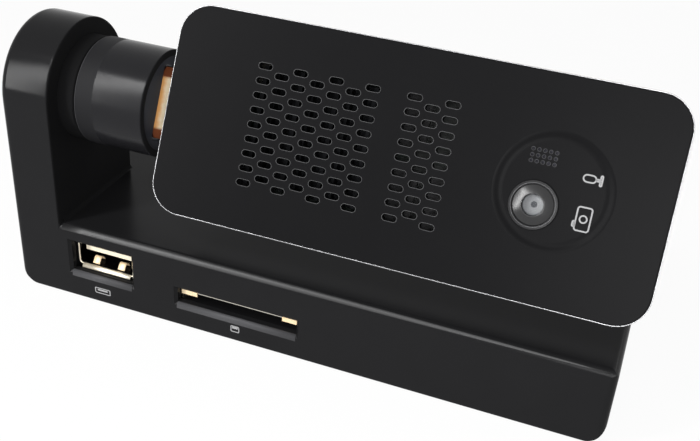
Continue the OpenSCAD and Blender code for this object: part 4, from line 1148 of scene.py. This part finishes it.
@dataclass
class Fasteners:
    """Screws under the dock and in the back of the stick."""

    dock: CrossScrew = CrossScrew(1.7, 0.9, 1.0, 8.0)
    stick: CrossScrew = CrossScrew(1.5, 0.8, 0.7, 9.8, 0.5, 0.26)
    stick_w: float = 39.2
    stick_t: float = 12.6

    def build_dock(self) -> None:
        """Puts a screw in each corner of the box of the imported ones."""
        low, high = box_mm("dock_screws")
        r = self.dock.head_r
        places = np.array([
            (x, y, low[2]) for x in (low[0] + r, high[0] - r) for y in (low[1] + r, high[1] - r)])
        made = add_piece("dock_cross_screws", (self.dock.form()[None] + places[:, None, None, :]) * MM,
                         Body.DOCK, "screw_steel", wrap=(True, False), smooth=False)
        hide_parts("dock_screws")

    def build_stick(self) -> None:
        """Puts a screw in each corner of the stick's back, as far from its sides as from its end."""
        low, high = box_mm("stick_screws")[:, 0] - box_mm("face_plate")[0, 0]
        near = low + self.stick.head_r
        far = high - self.stick.head_r
        side = self.stick_w / 2 - near
        places = np.array([(x, y, -self.stick_t) for x in (near, far) for y in (-side, side)])
        made = add_piece("stick_cross_screws", on_plate(self.stick.form()[None] + places[:, None, None, :]),
                         Body.STICK, "screw_steel", wrap=(True, False), smooth=False)
        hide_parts("stick_screws")

    def build(self) -> None:
        """Adds all the screws."""
        self.build_dock()
        self.build_stick()


@dataclass(frozen=True)
class PhotoCamera:
    """The photograph's camera: its place, what it looks at and its focal length."""

    place: tuple[float, float, float] = (58.59, -156.80, 126.28)
    aim: tuple[float, float, float] = (6.18, 0.0, 25.69)
    roll_deg: float = 3.95
    focal_px: float = 1010.8
    image_w_px: float = 700.0
    sensor: float = 36.0
    clip_m: tuple[float, float] = (0.01, 20.0)

    def build(self) -> None:
        """Makes the camera: its right hand is level, then turned up by the roll about the line of sight."""
        place = Vector(self.place) * MM
        ahead = (Vector(self.aim) * MM - place).normalized()
        level = ahead.cross(Vector((0.0, 0.0, 1.0))).normalized()
        upright = level.cross(ahead)
        roll = math.radians(self.roll_deg)
        right = level * math.cos(roll) + upright * math.sin(roll)
        up = upright * math.cos(roll) - level * math.sin(roll)
        data = bpy.data.cameras.new("photo_camera")
        data.sensor_width = self.sensor
        data.lens = self.focal_px * self.sensor / self.image_w_px
        data.clip_start, data.clip_end = self.clip_m
        made = bpy.data.objects.new("photo_camera", data)
        made.matrix_world = Matrix.Translation(place) @ Matrix((right, up, -ahead)).transposed().to_4x4()
        bpy.context.scene.collection.objects.link(made)
        bpy.context.scene.camera = made


@dataclass(frozen=True)
class Softbox:
    """A rectangular lamp: where it stands, what it faces, its sides and its brightness."""

    name: str
    place: tuple[float, float, float]
    aim: tuple[float, float, float]
    sides: tuple[float, float]
    radiance: float

    def build(self) -> None:
        """Makes the lamp: its power is pi times its area times its radiance."""
        data = bpy.data.lights.new(self.name, "AREA")
        data.shape = "RECTANGLE"
        data.size, data.size_y = (side * MM for side in self.sides)
        data.energy = math.pi * data.size * data.size_y * self.radiance
        made = bpy.data.objects.new(self.name, data)
        place = Vector(self.place) * MM
        made.location = place
        made.rotation_euler = (Vector(self.aim) * MM - place).to_track_quat("-Z", "Y").to_euler()
        bpy.context.scene.collection.objects.link(made)


@dataclass
class Studio:
    """White floor, white surroundings and soft lamps."""

    floor_m: float = 6.0
    white: str = "#ffffff"
    paper: float = 0.9
    fill: float = 0.12
    floor_glow: float = 0.94
    lamps: tuple[Softbox, ...] = (
        Softbox("left_softbox", (-243, -256, 182), (-40, 0, 42), (46, 350), 24.0),
        Softbox("front_softbox", (-90, -253, 352), (0, 0, 20), (370, 42), 15.0),
        Softbox("right_softbox", (81, -209, 115), (55, 0, 42), (80, 110), 13.0),
        Softbox("back_softbox", (330, 260, 240), (0, 0, 30), (200, 160), 4.0),
    )

    def seen(self, tree: Tree) -> Socket:
        """One for rays from the camera, and in gloss and glass, and zero for the rest.

        Args:
            tree: Node tree of the floor or the surroundings.

        Returns:
            The mask.
        """
        path = add_node(tree, "LightPath")
        direct = add_node(tree, "Math", {
            0: path.outputs["Is Camera Ray"], 1: path.outputs["Is Glossy Ray"]}, operation="MAXIMUM")
        return add_node(tree, "Math", {
            0: direct.outputs[0], 1: path.outputs["Is Transmission Ray"]}, operation="MAXIMUM").outputs[0]

    def build_world(self) -> None:
        """Sets up surroundings that look white and light the object at a plain level."""
        world = bpy.data.worlds.new("white_studio")
        world.use_nodes = True
        tree = world.node_tree
        tree.nodes.clear()
        lit, white = (
            add_node(tree, "Background", {"Color": linear(self.white), "Strength": strength}).outputs[0]
            for strength in (self.fill, 1.0))
        mix = add_node(tree, "MixShader", {0: self.seen(tree), 1: lit, 2: white})
        add_node(tree, "OutputWorld", {"Surface": mix.outputs[0]})
        bpy.context.scene.world = world

    def floor_material(self) -> bpy.types.Material:
        """Makes white paper: where it is seen it mostly glows, and a small share of it takes the shadow.

        Returns:
            The material.
        """
        material = bpy.data.materials.new("white_paper")
        material.use_nodes = True
        tree = material.node_tree
        tree.nodes.clear()
        paper = add_node(tree, "BsdfDiffuse", {"Color": linear(self.white, self.paper)}).outputs[0]
        glow = add_node(tree, "Emission", {"Color": linear(self.white), "Strength": 1.0}).outputs[0]
        share = add_node(tree, "Math", {0: self.seen(tree), 1: self.floor_glow}, operation="MULTIPLY")
        mix = add_node(tree, "MixShader", {0: share.outputs[0], 1: paper, 2: glow})
        add_node(tree, "OutputMaterial", {"Surface": mix.outputs[0]})
        return material

    def build_floor(self) -> None:
        """Adds the floor, a square about the origin."""
        half = self.floor_m / 2.0
        corners = [(-half, -half, 0.0), (half, -half, 0.0), (half, half, 0.0), (-half, half, 0.0)]
        mesh = bpy.data.meshes.new("floor")
        mesh.from_pydata(corners, [], [(0, 1, 2, 3)])
        mesh.materials.append(self.floor_material())
        floor = bpy.data.objects.new("floor", mesh)
        bpy.context.scene.collection.objects.link(floor)

    def build(self) -> None:
        """Sets up floor, surroundings and lamps."""
        self.build_world()
        self.build_floor()
        for lamp in self.lamps:
            lamp.build()


def main() -> None:
    """Builds the camera, the studio and the object's looks."""
    logging.basicConfig(level=logging.INFO, format="%(name)s: %(message)s")
    bpy.context.scene.view_settings.view_transform = "Standard"
    PhotoCamera().build()
    Studio().build()
    dress_solids()
    FrontPlate().build()
    CameraEye().build()
    PortFace().build()
    SwivelEnd().build()
    Fasteners().build()


if __name__ == "__main__":
    main()
